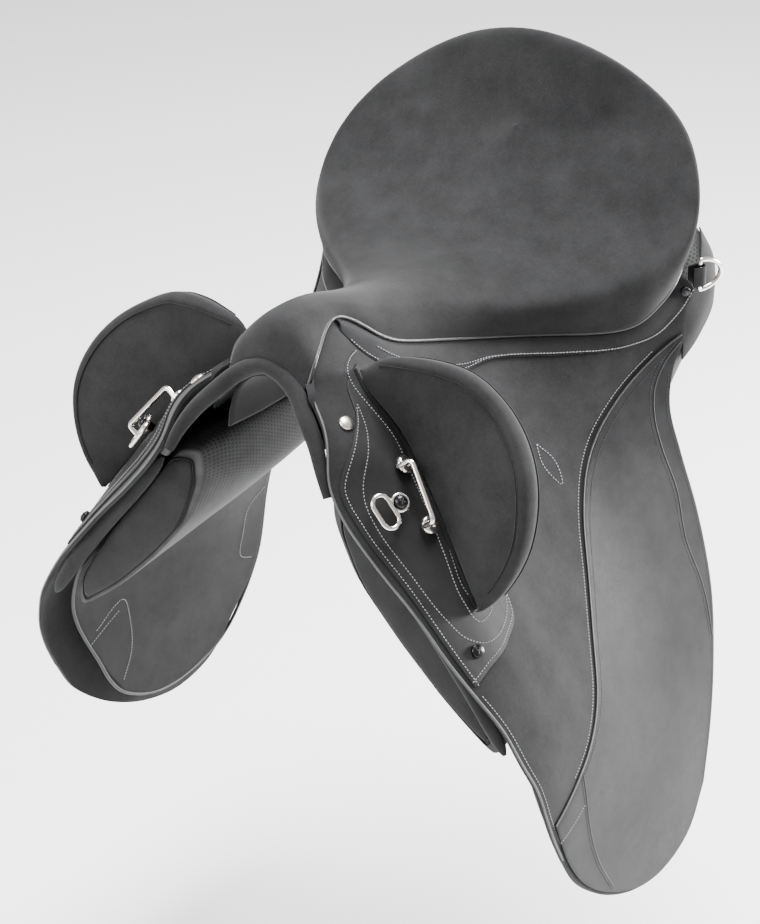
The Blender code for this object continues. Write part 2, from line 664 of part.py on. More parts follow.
def make_staple():
    upper, lower = (on_side(*place, 0.0045) for place in (STAPLE_UPPER, STAPLE_LOWER))
    up_axis, low_axis = (side_normal(*place) for place in (STAPLE_UPPER, STAPLE_LOWER))
    toward = (lower - upper).normalized()
    ahead = toward.cross(up_axis + low_axis).normalized()
    if ahead.y > 0:
        ahead = -ahead
    start, end = upper + ahead * 0.0055, lower + ahead * 0.0055
    bail = []
    for foot, rise, inward in ((start, up_axis, toward), (end, low_axis, -toward)):
        leg = [foot + rise * 0.0015, foot + rise * 0.005, foot + rise * (STAPLE_HEIGHT - STAPLE_BEND)]
        for angle in (30, 60, 90):
            turn = math.radians(angle)
            bend = rise * math.sin(turn) - rise + inward * (1 - math.cos(turn))
            leg.append(foot + rise * STAPLE_HEIGHT + bend * STAPLE_BEND)
        bail += leg if inward is toward else leg[::-1]
    body = as_mesh(wire("staple", bail, STAPLE_WIRE, STEEL))
    lugs = [
        disc("upper_lug", upper, up_axis, 0.0075, 0.0045, STEEL),
        disc("lower_lug", lower, low_axis, 0.0075, 0.0045, STEEL),
    ]
    both_sides(joined(body, lugs))
    for name, foot, axis in (("staple_upper_screw", upper, up_axis), ("staple_lower_screw", lower, low_axis)):
        both_sides(disc(name, foot - ahead * 0.0022 + axis * 0.0049, axis, 0.0031, 0.0016, STEEL, 10))


def make_ring():
    centre, axis = on_side(*KEEPER, 0.009), side_normal(*KEEPER)
    down = (on_side(KEEPER[0], KEEPER[1] - 0.01) - on_side(KEEPER[0], KEEPER[1] + 0.01)).normalized()
    ahead = down.cross(axis)
    middle = centre + ahead * (EYE_RADIUS + OVAL_RADIUS + 0.0008)
    oval = []
    for k in range(20):
        angle = 2 * math.pi * k / 20
        straight = OVAL_STRAIGHT * (1 if math.sin(angle) > 0 else -1) if abs(math.sin(angle)) > 0.01 else 0
        around = ahead * math.cos(angle) + down * math.sin(angle)
        oval.append(middle + around * OVAL_RADIUS + down * straight)
    turns = np.linspace(0, 2 * math.pi, 13)[:-1]
    eye = [centre + (ahead * math.cos(a) + down * math.sin(a)) * EYE_RADIUS for a in turns]
    body = as_mesh(wire("oval_ring", oval, RING_WIRE, STEEL, closed=True))
    loop = as_mesh(wire("ring_eye", eye, EYE_WIRE, STEEL, closed=True, sides=1))
    near, off = both_sides(joined(body, [loop]), centre)

    stem = disc("keeper_screw", on_side(*KEEPER, 0.0045), axis, 0.0033, 0.0082, BLACK_STEEL, 12)
    head = disc("keeper_head", on_side(*KEEPER, 0.0115), axis, 0.0052, 0.003, BLACK_STEEL, 12)
    both_sides(joined(stem, [head]))


def make_fasteners():
    for name, place, lift, radius, look in (
        ("pommel_nail", NAIL, 0.0008, 0.0060, STEEL),
        ("flap_screw", FLAP_SCREW, 0.0045, 0.0050, BLACK_STEEL),
        ("rear_screw", REAR_SCREW, 0.0008, 0.0036, BLACK_STEEL),
    ):
        both_sides(disc(name, on_side(*place, lift), side_normal(*place), radius, 0.003, look))


def make_dee():
    bar = Vector(DEE_BAR)
    out = Vector((0.45, 0.89, 0)).normalized()
    up = Vector((0, 0, 1))
    half = DEE_WIDTH / 2
    loop = [bar - up * half + up * DEE_WIDTH * k / 4 for k in range(5)]
    for k in range(1, 12):
        angle = math.pi / 2 - math.pi * k / 12
        loop.append(bar + up * half * math.sin(angle) + out * DEE_REACH * math.cos(angle))
    both_sides(wire("rear_dee", loop, 0.0020, STEEL, closed=True, sides=2), bar)

    back = -out
    side = out.cross(up)
    profile = []
    for k in range(9):
        angle = math.radians(-100 + 200 * k / 8)
        profile.append(bar + (out * math.cos(angle) + side * math.sin(angle)) * 0.0052)
    profile += [bar + back * 0.008 + side * 0.004, bar + back * 0.008 - side * 0.004]
    inner = []
    for k in range(9):
        angle = math.radians(100 - 200 * k / 8)
        inner.append(bar + (out * math.cos(angle) + side * math.sin(angle)) * 0.0032)
    ring = profile[:9] + [profile[9]] + [inner[0]] + inner[1:] + [profile[10]]
    ends = [[point + up * height for point in ring] for height in (-0.0085, 0.0085)]
    both_sides(loft("dee_tab", ends, SMOOTH))


def main():
    make_seat()
    make_welts()
    make_flaps()
    make_skirt()
    make_sweat_flap()
    make_poley()
    make_panels()
    make_arch()
    make_straps()
    make_staple()
    make_ring()
    make_fasteners()
    make_dee()


main()
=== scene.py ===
"""The saddle's looks: suede, smooth and perforated leather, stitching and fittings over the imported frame.

Metres, +Z up, the horse's head towards -Y. Near pieces (+X) are modelled, and off ones mirrored.
"""

import math

import bmesh
import bpy
import numpy as np
from mathutils import Matrix, Vector


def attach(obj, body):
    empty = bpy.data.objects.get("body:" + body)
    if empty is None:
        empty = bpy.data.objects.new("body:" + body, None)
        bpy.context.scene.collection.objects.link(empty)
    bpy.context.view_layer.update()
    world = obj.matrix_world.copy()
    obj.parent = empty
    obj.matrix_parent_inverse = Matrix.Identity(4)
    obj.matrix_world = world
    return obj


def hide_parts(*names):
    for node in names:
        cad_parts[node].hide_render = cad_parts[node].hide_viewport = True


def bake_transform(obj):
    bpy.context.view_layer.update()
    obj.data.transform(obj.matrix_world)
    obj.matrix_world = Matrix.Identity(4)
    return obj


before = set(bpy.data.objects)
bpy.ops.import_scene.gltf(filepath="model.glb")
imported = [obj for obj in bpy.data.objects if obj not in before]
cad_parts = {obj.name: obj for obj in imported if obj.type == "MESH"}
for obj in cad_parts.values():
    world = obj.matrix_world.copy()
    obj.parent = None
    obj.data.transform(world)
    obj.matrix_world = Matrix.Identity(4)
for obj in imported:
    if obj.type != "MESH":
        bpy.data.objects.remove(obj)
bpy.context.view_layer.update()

# Thickness of each leather, and how far its outer face lies from the side surface (inwards is negative).
FLAP_THICKNESS = 0.004
GRIP_THICKNESS, GRIP_LIFT = 0.0016, 0.0016
PATCH_THICKNESS, PATCH_LIFT = 0.0013, 0.0014
SKIRT_THICKNESS = 0.0018
SEAT_THICKNESS = 0.002
SWEAT_THICKNESS = 0.0025
WEB_THICKNESS, WEB_LIFT = 0.002, -0.0108
BILLET_THICKNESS, BILLET_LIFT = 0.0035, -0.0098

STITCH_LENGTH, STITCH_GAP, STITCH_WIDTH = 0.0017, 0.0010, 0.00036
GRAIN_SCALE, GRAIN_DEPTH = 1100, 0.00022
HOLE_PITCH = 0.0034
FLOOR_Z, FLOOR_REACH = -0.62, 30

# ---------------------------------------------------------------- the side surface

HEIGHTS = np.array([-0.40, -0.30, -0.20, -0.15, -0.10, -0.05, 0.0, 0.03, 0.045, 0.06, 0.09])
STATIONS = np.array([-0.225, -0.205, -0.185, -0.150, -0.100, 0.000, 0.060, 0.125])
WIDTHS = np.array([
    [0.262, 0.258, 0.243, 0.210, 0.168, 0.122, 0.082, 0.063, 0.052, 0.037, 0.012],
    [0.262, 0.259, 0.246, 0.218, 0.180, 0.138, 0.098, 0.078, 0.063, 0.044, 0.016],
    [0.262, 0.260, 0.247, 0.222, 0.187, 0.149, 0.109, 0.086, 0.068, 0.044, 0.020],
    [0.262, 0.259, 0.245, 0.219, 0.184, 0.145, 0.105, 0.080, 0.063, 0.045, 0.021],
    [0.262, 0.257, 0.239, 0.211, 0.174, 0.132, 0.091, 0.065, 0.052, 0.038, 0.016],
    [0.260, 0.252, 0.226, 0.203, 0.176, 0.142, 0.098, 0.067, 0.052, 0.040, 0.020],
    [0.258, 0.248, 0.230, 0.212, 0.192, 0.168, 0.141, 0.121, 0.111, 0.100, 0.080],
    [0.256, 0.248, 0.236, 0.224, 0.210, 0.196, 0.183, 0.176, 0.174, 0.172, 0.170],
])


def hermite(xs, ys, x):
    """The smooth curve through (xs, ys) at x. ys may have a column of values for each x."""
    xs, x = np.asarray(xs, float), np.atleast_1d(np.asarray(x, float))
    ys = np.asarray(ys, float)
    step = np.diff(xs).reshape((-1,) + (1,) * (ys.ndim - 1))
    rate = np.diff(ys, axis=0) / step
    slope = np.empty_like(ys)
    slope[1:-1] = (rate[:-1] * step[1:] + rate[1:] * step[:-1]) / (step[:-1] + step[1:])
    slope[0], slope[-1] = rate[0], rate[-1]
    i = np.clip(np.searchsorted(xs, x, side="right") - 1, 0, len(xs) - 2)
    h = xs[i + 1] - xs[i]
    t = (x - xs[i]) / h
    if ys.ndim == 2 and ys.shape[1] == len(x):
        k = np.arange(len(x))
        y0, y1, s0, s1 = ys[i, k], ys[i + 1, k], slope[i, k], slope[i + 1, k]
    else:
        y0, y1, s0, s1 = ys[i], ys[i + 1], slope[i], slope[i + 1]
        shape = (-1,) + (1,) * (ys.ndim - 1)
        t, h = t.reshape(shape), h.reshape(shape)
    inner = (2 * t**3 - 3 * t**2 + 1) * y0 + (t**3 - 2 * t**2 + t) * h * s0
    inner += (3 * t**2 - 2 * t**3) * y1 + (t**3 - t**2) * h * s1
    return np.where(t < 0, y0 + s0 * t * h, np.where(t > 1, y1 + s1 * (t - 1) * h, inner))


def spline(xs, ys, x):
    """The natural cubic spline through (xs, ys), at x. Each column of ys is one curve."""
    xs, ys, x = np.asarray(xs, float), np.asarray(ys, float), np.atleast_1d(np.asarray(x, float))
    h = np.diff(xs)
    system, right = np.eye(len(xs)), np.zeros_like(ys)
    rate = np.diff(ys, axis=0) / h[:, None]
    for i in range(1, len(xs) - 1):
        system[i, i - 1:i + 2] = h[i - 1], 2 * (h[i - 1] + h[i]), h[i]
        right[i] = 6 * (rate[i] - rate[i - 1])
    bend = np.linalg.solve(system, right)
    i = np.clip(np.searchsorted(xs, x, side="right") - 1, 0, len(xs) - 2)
    a, b, width = xs[i + 1] - x, x - xs[i], h[i]
    a, b, width = a[:, None], b[:, None], width[:, None]
    curve = (bend[i] * a**3 + bend[i + 1] * b**3) / (6 * width)
    curve += (ys[i] / width - bend[i] * width / 6) * a + (ys[i + 1] / width - bend[i + 1] * width / 6) * b
    return curve


def side_width(y, z):
    y, z = np.ravel(y).astype(float), np.ravel(z).astype(float)
    across = np.array([hermite(HEIGHTS, row, z) for row in WIDTHS])
    if len(z) == 1:
        return hermite(STATIONS, across[:, 0], np.clip(y, -0.25, 0.17))
    return hermite(STATIONS, across, np.clip(y, -0.25, 0.17))


def side_normal(y, z):
    y, z = np.ravel(y).astype(float), np.ravel(z).astype(float)
    step = 0.0015
    along = (side_width(y + step, z) - side_width(y - step, z)) / (2 * step)
    down = (side_width(y, z + step) - side_width(y, z - step)) / (2 * step)
    normal = np.stack([np.ones_like(along), -along, -down], axis=1)
    return normal / np.linalg.norm(normal, axis=1)[:, None]


def on_side(yz, lift=0.0):
    """Points on the near side, raised by lift (a number or one for each)."""
    yz = np.asarray(yz, float).reshape(-1, 2)
    y, z = yz[:, 0], yz[:, 1]
    base = np.stack([side_width(y, z), y, z], axis=1)
    return base + side_normal(y, z) * np.reshape(lift, (-1, 1))


def run_of(points, axis=0):
    """The length run along one axis of an array of points, from 0 at its start."""
    steps = np.linalg.norm(np.diff(points, axis=axis), axis=-1)
    start = np.zeros_like(np.take(steps, [0], axis=axis))
    return np.concatenate([start, np.cumsum(steps, axis=axis)], axis=axis)


def along(points, count):
    """Points spaced evenly along the smooth curve through the given ones."""
    points = np.asarray(points, float)
    run = run_of(points)
    fine = hermite(run, points, np.linspace(0, run[-1], 12 * len(points)))
    run = run_of(fine)
    wanted = np.linspace(0, run[-1], count)
    return np.stack([np.interp(wanted, run, fine[:, k]) for k in range(points.shape[1])], axis=1)


def length_of(points):
    return float(np.linalg.norm(np.diff(points, axis=0), axis=1).sum())


def filled(front, rear, top, bottom, columns, rows):
    """An array (rows + 1, columns + 1, 2) of (y, z) inside four outlines."""
    f, r = along(front, rows + 1), along(rear, rows + 1)
    t, b = along(top, columns + 1), along(bottom, columns + 1)
    u = np.linspace(0, 1, columns + 1)[None, :, None]
    v = np.linspace(0, 1, rows + 1)[:, None, None]
    ruled = (1 - u) * f[:, None] + u * r[:, None] + (1 - v) * t[None] + v * b[None]
    corners = (1 - v) * ((1 - u) * t[0] + u * t[-1]) + v * ((1 - u) * b[0] + u * b[-1])
    return ruled - corners


# ---------------------------------------------------------------- outlines, (y, z)

FLAP_FRONT = (
    (-0.184, 0.066), (-0.196, 0.056), (-0.209, 0.038), (-0.221, 0.012), (-0.225, -0.014), (-0.224, -0.044),
    (-0.221, -0.078), (-0.220, -0.114), (-0.217, -0.136), (-0.212, -0.161), (-0.210, -0.189),
    (-0.206, -0.208), (-0.202, -0.235), (-0.197, -0.253), (-0.185, -0.282),
)
FLAP_TIP = (
    (-0.185, -0.282), (-0.167, -0.314), (-0.137, -0.344), (-0.111, -0.362), (-0.073, -0.380),
    (-0.026, -0.389), (0.018, -0.378), (0.048, -0.347),
)
FLAP_REAR = (
    (0.132, 0.050), (0.129, 0.018), (0.113, -0.012), (0.104, -0.038), (0.102, -0.074), (0.102, -0.123),
    (0.098, -0.173), (0.087, -0.227), (0.072, -0.290), (0.048, -0.347),
)
FLAP_TOP = (
    (-0.184, 0.066), (-0.175, 0.076), (-0.162, 0.084), (-0.140, 0.090), (-0.124, 0.090), (-0.110, 0.079),
    (-0.099, 0.064), (-0.089, 0.047), (-0.060, 0.031), (-0.034, 0.023), (0.000, 0.025), (0.046, 0.019),
    (0.087, 0.017), (0.113, 0.026), (0.132, 0.050),
)
GRIP_FRONT = (
    (0.126, 0.018), (0.106, 0.006), (0.072, -0.016), (0.038, -0.042), (0.013, -0.065), (-0.008, -0.089),
    (-0.039, -0.130), (-0.073, -0.166), (-0.103, -0.196), (-0.126, -0.212), (-0.155, -0.227),
    (-0.194, -0.245),
)
GRIP_SEAM = (
    (0.124, 0.012), (0.109, -0.002), (0.095, -0.021), (0.088, -0.041), (0.085, -0.069), (0.086, -0.100),
    (0.080, -0.142), (0.084, -0.180), (0.083, -0.226),
)
TIP_SEAM = ((-0.148, -0.226), (-0.146, -0.269), (-0.135, -0.313), (-0.113, -0.352))
PATCH_FRONT = (
    (-0.132, 0.062), (-0.157, 0.056), (-0.170, 0.046), (-0.192, 0.034), (-0.207, 0.021), (-0.217, 0.006),
    (-0.2195, -0.022), (-0.2165, -0.063), (-0.216, -0.100), (-0.214, -0.130),
)
PATCH_REAR = (
    (-0.128, 0.058), (-0.140, 0.040), (-0.142, 0.016), (-0.150, -0.010), (-0.166, -0.045), (-0.176, -0.075),
    (-0.172, -0.088), (-0.150, -0.090), (-0.136, -0.094),
)
PATCH_LOW = ((-0.214, -0.130), (-0.195, -0.122), (-0.166, -0.115), (-0.143, -0.107), (-0.136, -0.094))
PATCH_STITCH = (
    (-0.164, 0.047), (-0.171, 0.040), (-0.187, 0.026), (-0.201, 0.009), (-0.208, -0.007), (-0.210, -0.024),
    (-0.208, -0.055), (-0.205, -0.086), (-0.200, -0.100), (-0.192, -0.106), (-0.173, -0.108),
    (-0.151, -0.103), (-0.139, -0.095),
)
SKIRT_HEM = (
    (-0.128, 0.084), (-0.117, 0.064), (-0.099, 0.046), (-0.080, 0.0345), (-0.060, 0.0270), (-0.034, 0.0195),
    (0.000, 0.0205), (0.046, 0.0165), (0.087, 0.0150), (0.110, 0.021), (0.126, 0.036), (0.136, 0.054),
)
SWEAT_FRONT = (
    (-0.194, -0.040), (-0.196, -0.110), (-0.190, -0.180), (-0.181, -0.226), (-0.160, -0.276),
    (-0.128, -0.331),
)
SWEAT_REAR = ((0.062, -0.050), (0.060, -0.120), (0.060, -0.200), (0.050, -0.275), (0.008, -0.342))
SWEAT_TIP = ((-0.128, -0.331), (-0.089, -0.353), (-0.038, -0.357), (0.008, -0.342))
POLEY_BASE = (
    (-0.139, 0.060), (-0.146, 0.048), (-0.147, 0.032), (-0.148, 0.016), (-0.154, -0.005), (-0.163, -0.030),
    (-0.172, -0.055), (-0.180, -0.087),
)
POLEY_EDGE = (
    (0.053, -0.137, 0.065), (0.066, -0.137, 0.074), (0.088, -0.136, 0.080), (0.115, -0.131, 0.081),
    (0.140, -0.126, 0.076), (0.165, -0.128, 0.064), (0.190, -0.138, 0.047), (0.207, -0.150, 0.026),
    (0.216, -0.162, 0.000), (0.215, -0.170, -0.028), (0.206, -0.177, -0.053), (0.192, -0.182, -0.073),
    (0.182, -0.184, -0.082),
)
POLEY_SEAM = (
    (-0.124, 0.068), (-0.136, 0.067), (-0.147, 0.062), (-0.153, 0.052), (-0.154, 0.040), (-0.154, 0.020),
    (-0.160, 0.000), (-0.169, -0.024), (-0.178, -0.048), (-0.186, -0.080), (-0.184, -0.094), (-0.172, -0.095),
    (-0.160, -0.092),
)

# ---------------------------------------------------------------- materials


class Nodes:
    """A material being built: add() makes a node and links what it is given."""

    def __init__(self, name, colour, roughness, metallic=0.0):
        self.made = bpy.data.materials.new(name)
        self.made.use_nodes = True
        self.tree = self.made.node_tree
        self.shader = self.tree.nodes["Principled BSDF"]
        self.shader.inputs["Base Color"].default_value = (*colour, 1)
        self.shader.inputs["Roughness"].default_value = roughness
        self.shader.inputs["Metallic"].default_value = metallic
        self.place = self.add("ShaderNodeTexCoord").outputs["Object"]

    def add(self, kind, settings=None, **sockets):
        node = self.tree.nodes.new(kind)
        for key, value in (settings or {}).items():
            setattr(node, key, value)
        for key, value in sockets.items():
            self.put(node.inputs[key.replace("_", " ")], value)
        return node

    def put(self, socket, value):
        if isinstance(value, bpy.types.NodeSocket):
            self.tree.links.new(value, socket)
        else:
            socket.default_value = value

    def noise(self, scale, detail=3.0, roughness=0.55):
        node = self.add(
            "ShaderNodeTexNoise", Vector=self.place, Scale=scale, Detail=detail, Roughness=roughness
        )
        return node.outputs["Fac"]

    def ramp(self, value, stops):
        node = self.add("ShaderNodeValToRGB", Fac=value)
        while len(node.color_ramp.elements) < len(stops):
            node.color_ramp.elements.new(0.5)
        for element, (position, colour) in zip(node.color_ramp.elements, stops):
            element.position = position
            element.color = (*colour, 1) if len(colour) == 3 else colour
        return node.outputs["Color"]

    def math(self, operation, a, b=0.0):
        node = self.tree.nodes.new("ShaderNodeMath")
        node.operation = operation
        self.put(node.inputs[0], a)
        self.put(node.inputs[1], b)
        return node.outputs[0]

    def bump(self, height, strength, distance):
        last = self.shader.inputs["Normal"]
        node = self.add("ShaderNodeBump", Height=height, Strength=strength, Distance=distance)
        if last.is_linked:
            self.tree.links.new(last.links[0].from_socket, node.inputs["Normal"])
        self.tree.links.new(node.outputs["Normal"], last)

    def colour(self, value):
        self.put(self.shader.inputs["Base Color"], value)

    def clouds(self, noise, dark, light):
        """Greys that wander from dark to light with the noise."""
        return self.ramp(noise, ((0.35, grey(dark)), (0.65, grey(light))))

    def wear(self, noise, smoothest, roughest):
        spread = self.add("ShaderNodeMapRange", Value=noise)
        spread.inputs["To Min"].default_value = smoothest
        spread.inputs["To Max"].default_value = roughest
        self.put(self.shader.inputs["Roughness"], spread.outputs["Result"])


def grey(value):
    return (value * 0.985, value * 0.99, value * 1.03)


def suede(name, dark, light):
    m = Nodes(name, grey(light), 0.95)
    coarse = m.math("MULTIPLY", m.noise(38, 4, 0.6), 0.6)
    fine = m.math("MULTIPLY", m.noise(420, 3, 0.7), 0.4)
    m.colour(m.ramp(m.math("ADD", coarse, fine), ((0.34, grey(dark)), (0.66, grey(light)))))
    m.shader.inputs["Sheen Weight"].default_value = 0.10
    m.shader.inputs["Sheen Roughness"].default_value = 0.45
    m.shader.inputs["Specular IOR Level"].default_value = 0.12
    m.bump(m.noise(1500, 2), 0.35, 0.0004)
    return m.made


def leather(name, dark, light, roughness, grain=GRAIN_SCALE, depth=GRAIN_DEPTH, specular=0.5, ior=1.5):
    m = Nodes(name, grey(light), roughness)
    m.shader.inputs["IOR"].default_value = ior
    m.shader.inputs["Specular IOR Level"].default_value = specular
    m.colour(m.clouds(m.noise(60, 4, 0.6), dark, light))
    cells = m.add("ShaderNodeTexVoronoi", {"feature": "DISTANCE_TO_EDGE"}, Vector=m.place, Scale=grain)
    m.bump(m.ramp(cells.outputs["Distance"], ((0.0, (0, 0, 0)), (0.25, (1, 1, 1)))), 0.30, depth)
    m.wear(m.noise(190, 3), roughness - 0.06, roughness + 0.08)
    return m.made


def perforated(name, dark, light):
    """Leather with rows of small holes, spaced by the mesh's UV map in metres; the holes are painted near
    black, painted shade for their depth.
    """
    m = Nodes(name, grey(light), 0.62)
    m.shader.inputs["Specular IOR Level"].default_value = 0.25
    uv = m.add("ShaderNodeUVMap", {"uv_map": "metres"}).outputs["UV"]
    split = m.add("ShaderNodeSeparateXYZ", Vector=uv)
    row = m.math("DIVIDE", split.outputs["Y"], HOLE_PITCH)
    shift = m.math("MULTIPLY", m.math("MODULO", m.math("FLOOR", row), 2.0), 0.5)
    column = m.math("ADD", m.math("DIVIDE", split.outputs["X"], HOLE_PITCH), shift)
    across = m.math("SUBTRACT", m.math("FRACT", column), 0.5)
    up = m.math("SUBTRACT", m.math("FRACT", row), 0.5)
    reach = m.math("SQRT", m.math("ADD", m.math("MULTIPLY", across, across), m.math("MULTIPLY", up, up)))
    # The holes' near-black colour is painted shade; the same mask bumps them in.
    hole = m.ramp(reach, ((0.20, (0, 0, 0)), (0.28, (1, 1, 1))))
    mixed = m.add("ShaderNodeMix", {"data_type": "RGBA", "blend_type": "MULTIPLY"})
    mixed.inputs["Factor"].default_value = 0.92
    m.put(mixed.inputs["A"], m.clouds(m.noise(80, 4), dark, light))
    m.put(mixed.inputs["B"], hole)
    m.colour(mixed.outputs["Result"])
    m.bump(hole, 0.6, 0.0006)
    return m.made


def metal(name, colour, roughness, wear=0.05):
    m = Nodes(name, colour, roughness, 1.0)
    m.wear(m.noise(240, 4), roughness - wear, roughness + wear)
    m.bump(m.noise(700, 2), 0.06, 0.0002)
    return m.made


def woven(name, dark, light, scale):
    m = Nodes(name, light, 0.85)
    warp, weft = (
        m.add("ShaderNodeTexWave", {"bands_direction": axis}, Vector=m.place, Scale=scale).outputs["Fac"]
        for axis in "YZ"
    )
    both = m.math("MULTIPLY", warp, weft)
    m.colour(m.ramp(both, ((0.1, dark), (0.7, light))))
    m.bump(both, 0.5, 0.0004)
    return m.made


def wooden(name):
    m = Nodes(name, (0.48, 0.33, 0.18), 0.5)
    wave = m.add("ShaderNodeTexWave", Vector=m.place, Scale=70, Distortion=3.0, Detail=3.0)
    grain = wave.outputs["Fac"]
    m.colour(m.ramp(grain, ((0.2, (0.36, 0.23, 0.11)), (0.8, (0.56, 0.40, 0.22)))))
    m.bump(grain, 0.2, 0.0003)
    return m.made


def foamed(name):
    m = Nodes(name, (0.55, 0.50, 0.38), 0.95)
    cells = m.add("ShaderNodeTexVoronoi", Vector=m.place, Scale=700).outputs["Distance"]
    m.colour(m.ramp(cells, ((0.1, (0.36, 0.32, 0.23)), (0.6, (0.62, 0.57, 0.44)))))
    m.bump(cells, 0.5, 0.0006)
    return m.made


SUEDE = suede("suede", 0.011, 0.021)
# A darker suede for the seams and welts, and for the painted shade along the poley's base.
SEAM_AND_SHADE_SUEDE = suede("seam_and_shade_suede", 0.006, 0.010)
PATCH_LEATHER = leather("patch_leather", 0.008, 0.012, 0.60, 1500, specular=0.2)
SMOOTH = leather("smooth_leather", 0.014, 0.019, 0.36, specular=0.5, ior=1.14)
INNER = leather("inner_leather", 0.008, 0.012, 0.48, specular=0.5, ior=1.16)
EDGE = leather("edge_leather", 0.005, 0.008, 0.45)
WELT = leather("welt_leather", 0.012, 0.016, 0.32)
# A light grey leather for the line along the flap's front edge.
EDGE_LIGHT = leather("light_edge_line", 0.05, 0.07, 0.45)
PERFORATED = perforated("perforated_leather", 0.022, 0.034)
THREAD = woven("thread", (0.20, 0.20, 0.205), (0.32, 0.32, 0.33), 900)
THREAD_DARK = woven("dark_thread", (0.006, 0.006, 0.006), (0.015, 0.015, 0.015), 900)
NICKEL = metal("nickel", (0.80, 0.745, 0.71), 0.17)
NAIL_METAL = metal("nail_metal", (0.74, 0.70, 0.62), 0.30)
BLACK_METAL = metal("black_metal", (0.03, 0.03, 0.032), 0.28)
WEBBING = woven("webbing", (0.008, 0.008, 0.009), (0.03, 0.03, 0.033), 260)

# ---------------------------------------------------------------- making pieces

NEAR, OFF = "near", "off"


def make(name, mesh, material):
    for polygon in mesh.polygons:
        polygon.use_smooth = True
    mesh.materials.clear()
    mesh.materials.append(material)
    piece = bpy.data.objects.new(name, mesh)
    bpy.context.scene.collection.objects.link(piece)
    return piece


def mesh_of(name, points, faces):
    mesh = bpy.data.meshes.new(name)
    mesh.from_pydata([tuple(map(float, p)) for p in points], [], faces)
    mesh.update()
    return mesh


def settled(piece):
    """Applies the piece's modifiers and turns a curve into a mesh."""
    bpy.context.view_layer.update()
    mesh = bpy.data.meshes.new_from_object(piece.evaluated_get(bpy.context.evaluated_depsgraph_get()))
    name, material = piece.name, piece.data.materials[0]
    bpy.data.objects.remove(piece)
    return make(name, mesh, material)


def mirrored(piece, name):
    mesh = piece.data.copy()
    mesh.transform(Matrix.Scale(-1, 4, (1, 0, 0)))
    mesh.flip_normals()
    made = bpy.data.objects.new(name, mesh)
    bpy.context.scene.collection.objects.link(made)
    return made


def pair(piece, replaced=(), body="saddle", blended=False):
    """Finishes a near piece and its mirror image. Each name in replaced gets _near or _off added, and body
    may end in _SIDE.
    """
    base = piece.name
    piece = settled(piece)
    other = mirrored(piece, base + "_off")
    piece.name = base + "_near"
    for made, side in ((piece, NEAR), (other, OFF)):
        if replaced:
            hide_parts(*[f"{node}_{side}" for node in replaced])
        if blended:
            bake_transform(made)
        else:
            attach(made, body.replace("SIDE", side))
    return piece, other


def single(piece, replaced=()):
    piece = settled(piece)
    if replaced:
        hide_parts(*replaced)
    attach(piece, "saddle")
    return piece


def grid_faces(rows, columns):
    return [
        (a, a + columns + 1, a + columns + 2, a + 1)
        for j in range(rows) for i in range(columns) for a in (j * (columns + 1) + i,)
    ]


def add_metres(piece, flat):
    """A UV map in metres: flat is each vertex's place on the flat leather."""
    uv = piece.data.uv_layers.new(name="metres")
    index = np.array([loop.vertex_index for loop in piece.data.loops])
    uv.data.foreach_set("uv", flat[index].ravel())


def sheet(name, points, thickness, material, bevel=0.0006, edge=None, offset=-1):
    """A sheet from an array (rows + 1, columns + 1, 3), with rounded edges and its own edge finish."""
    rows, columns = points.shape[0] - 1, points.shape[1] - 1
    piece = make(name, mesh_of(name, points.reshape(-1, 3), grid_faces(rows, columns)), material)
    add_metres(piece, np.stack([run_of(points, 1).ravel(), run_of(points, 0).ravel()], axis=1))
    if edge:
        piece.data.materials.append(edge)
    solid = piece.modifiers.new("thickness", "SOLIDIFY")
    solid.thickness = thickness
    solid.offset = offset
    if edge:
        solid.material_offset_rim = 1
    if bevel:
        round_edge = piece.modifiers.new("edge", "BEVEL")
        round_edge.width = bevel
        round_edge.segments = 2
        round_edge.angle_limit = math.radians(50)
    return piece


def draped(name, yz, lift, thickness, material, **more):
    flat = yz.reshape(-1, 2)
    return sheet(name, on_side(flat, lift).reshape(*yz.shape[:2], 3), thickness, material, **more)


def tube(name, points, radius, material, closed=False, sides=4):
    curve = bpy.data.curves.new(name, "CURVE")
    curve.dimensions = "3D"
    curve.bevel_depth = 1.0
    curve.bevel_resolution = sides
    curve.use_fill_caps = True
    line = curve.splines.new("POLY")
    line.points.add(len(points) - 1)
    radii = np.broadcast_to(radius, len(points))
    for place, point, size in zip(line.points, points, radii):
        place.co = (*[float(c) for c in point], 1)
        place.radius = float(size)
    line.use_cyclic_u = closed
    curve.materials.append(material)
    piece = bpy.data.objects.new(name, curve)
    bpy.context.scene.collection.objects.link(piece)
    return piece


def at_run(run, values, where):
    return np.array([np.interp(where, run, values[:, c]) for c in range(3)])


def stitches(name, rows, material, length=STITCH_LENGTH, gap=STITCH_GAP, width=STITCH_WIDTH, lift=0.0004):
    """Rows of stitches as one mesh: each row is (points, normals) at even spacing or close to it."""
    points, faces = [], []
    section = ((-width, 0.0), (-width * 0.8, lift), (width * 0.8, lift), (width, 0.0))
    for curve, normals in rows:
        total = length_of(curve)
        count = max(2, int(total / (length + gap)))
        run = run_of(curve)
        for k in range(count):
            middle = (k + 0.5) * total / count
            ends = [at_run(run, curve, middle + reach) for reach in (-length / 2, length / 2)]
            normal = at_run(run, normals, middle)
            direction = ends[1] - ends[0]
            direction /= np.linalg.norm(direction) + 1e-12
            across = np.cross(normal, direction)
            across /= np.linalg.norm(across) + 1e-12
            first = len(points)
            for end, sign in ((ends[0], -1), (ends[1], 1)):
                inner = end - direction * sign * length * 0.22
                for offset, height in section:
                    points.append((inner if height else end) + across * offset + normal * (height - 0.0002))
            a, b = first, first + 4
            faces += [(a, b, b + 1, a + 1), (a + 1, b + 1, b + 2, a + 2), (a + 2, b + 2, b + 3, a + 3)]
            faces += [(a + 3, b + 3, b, a), (a, a + 1, a + 2, a + 3), (b + 3, b + 2, b + 1, b)]
    return make(name, mesh_of(name, points, faces), material)


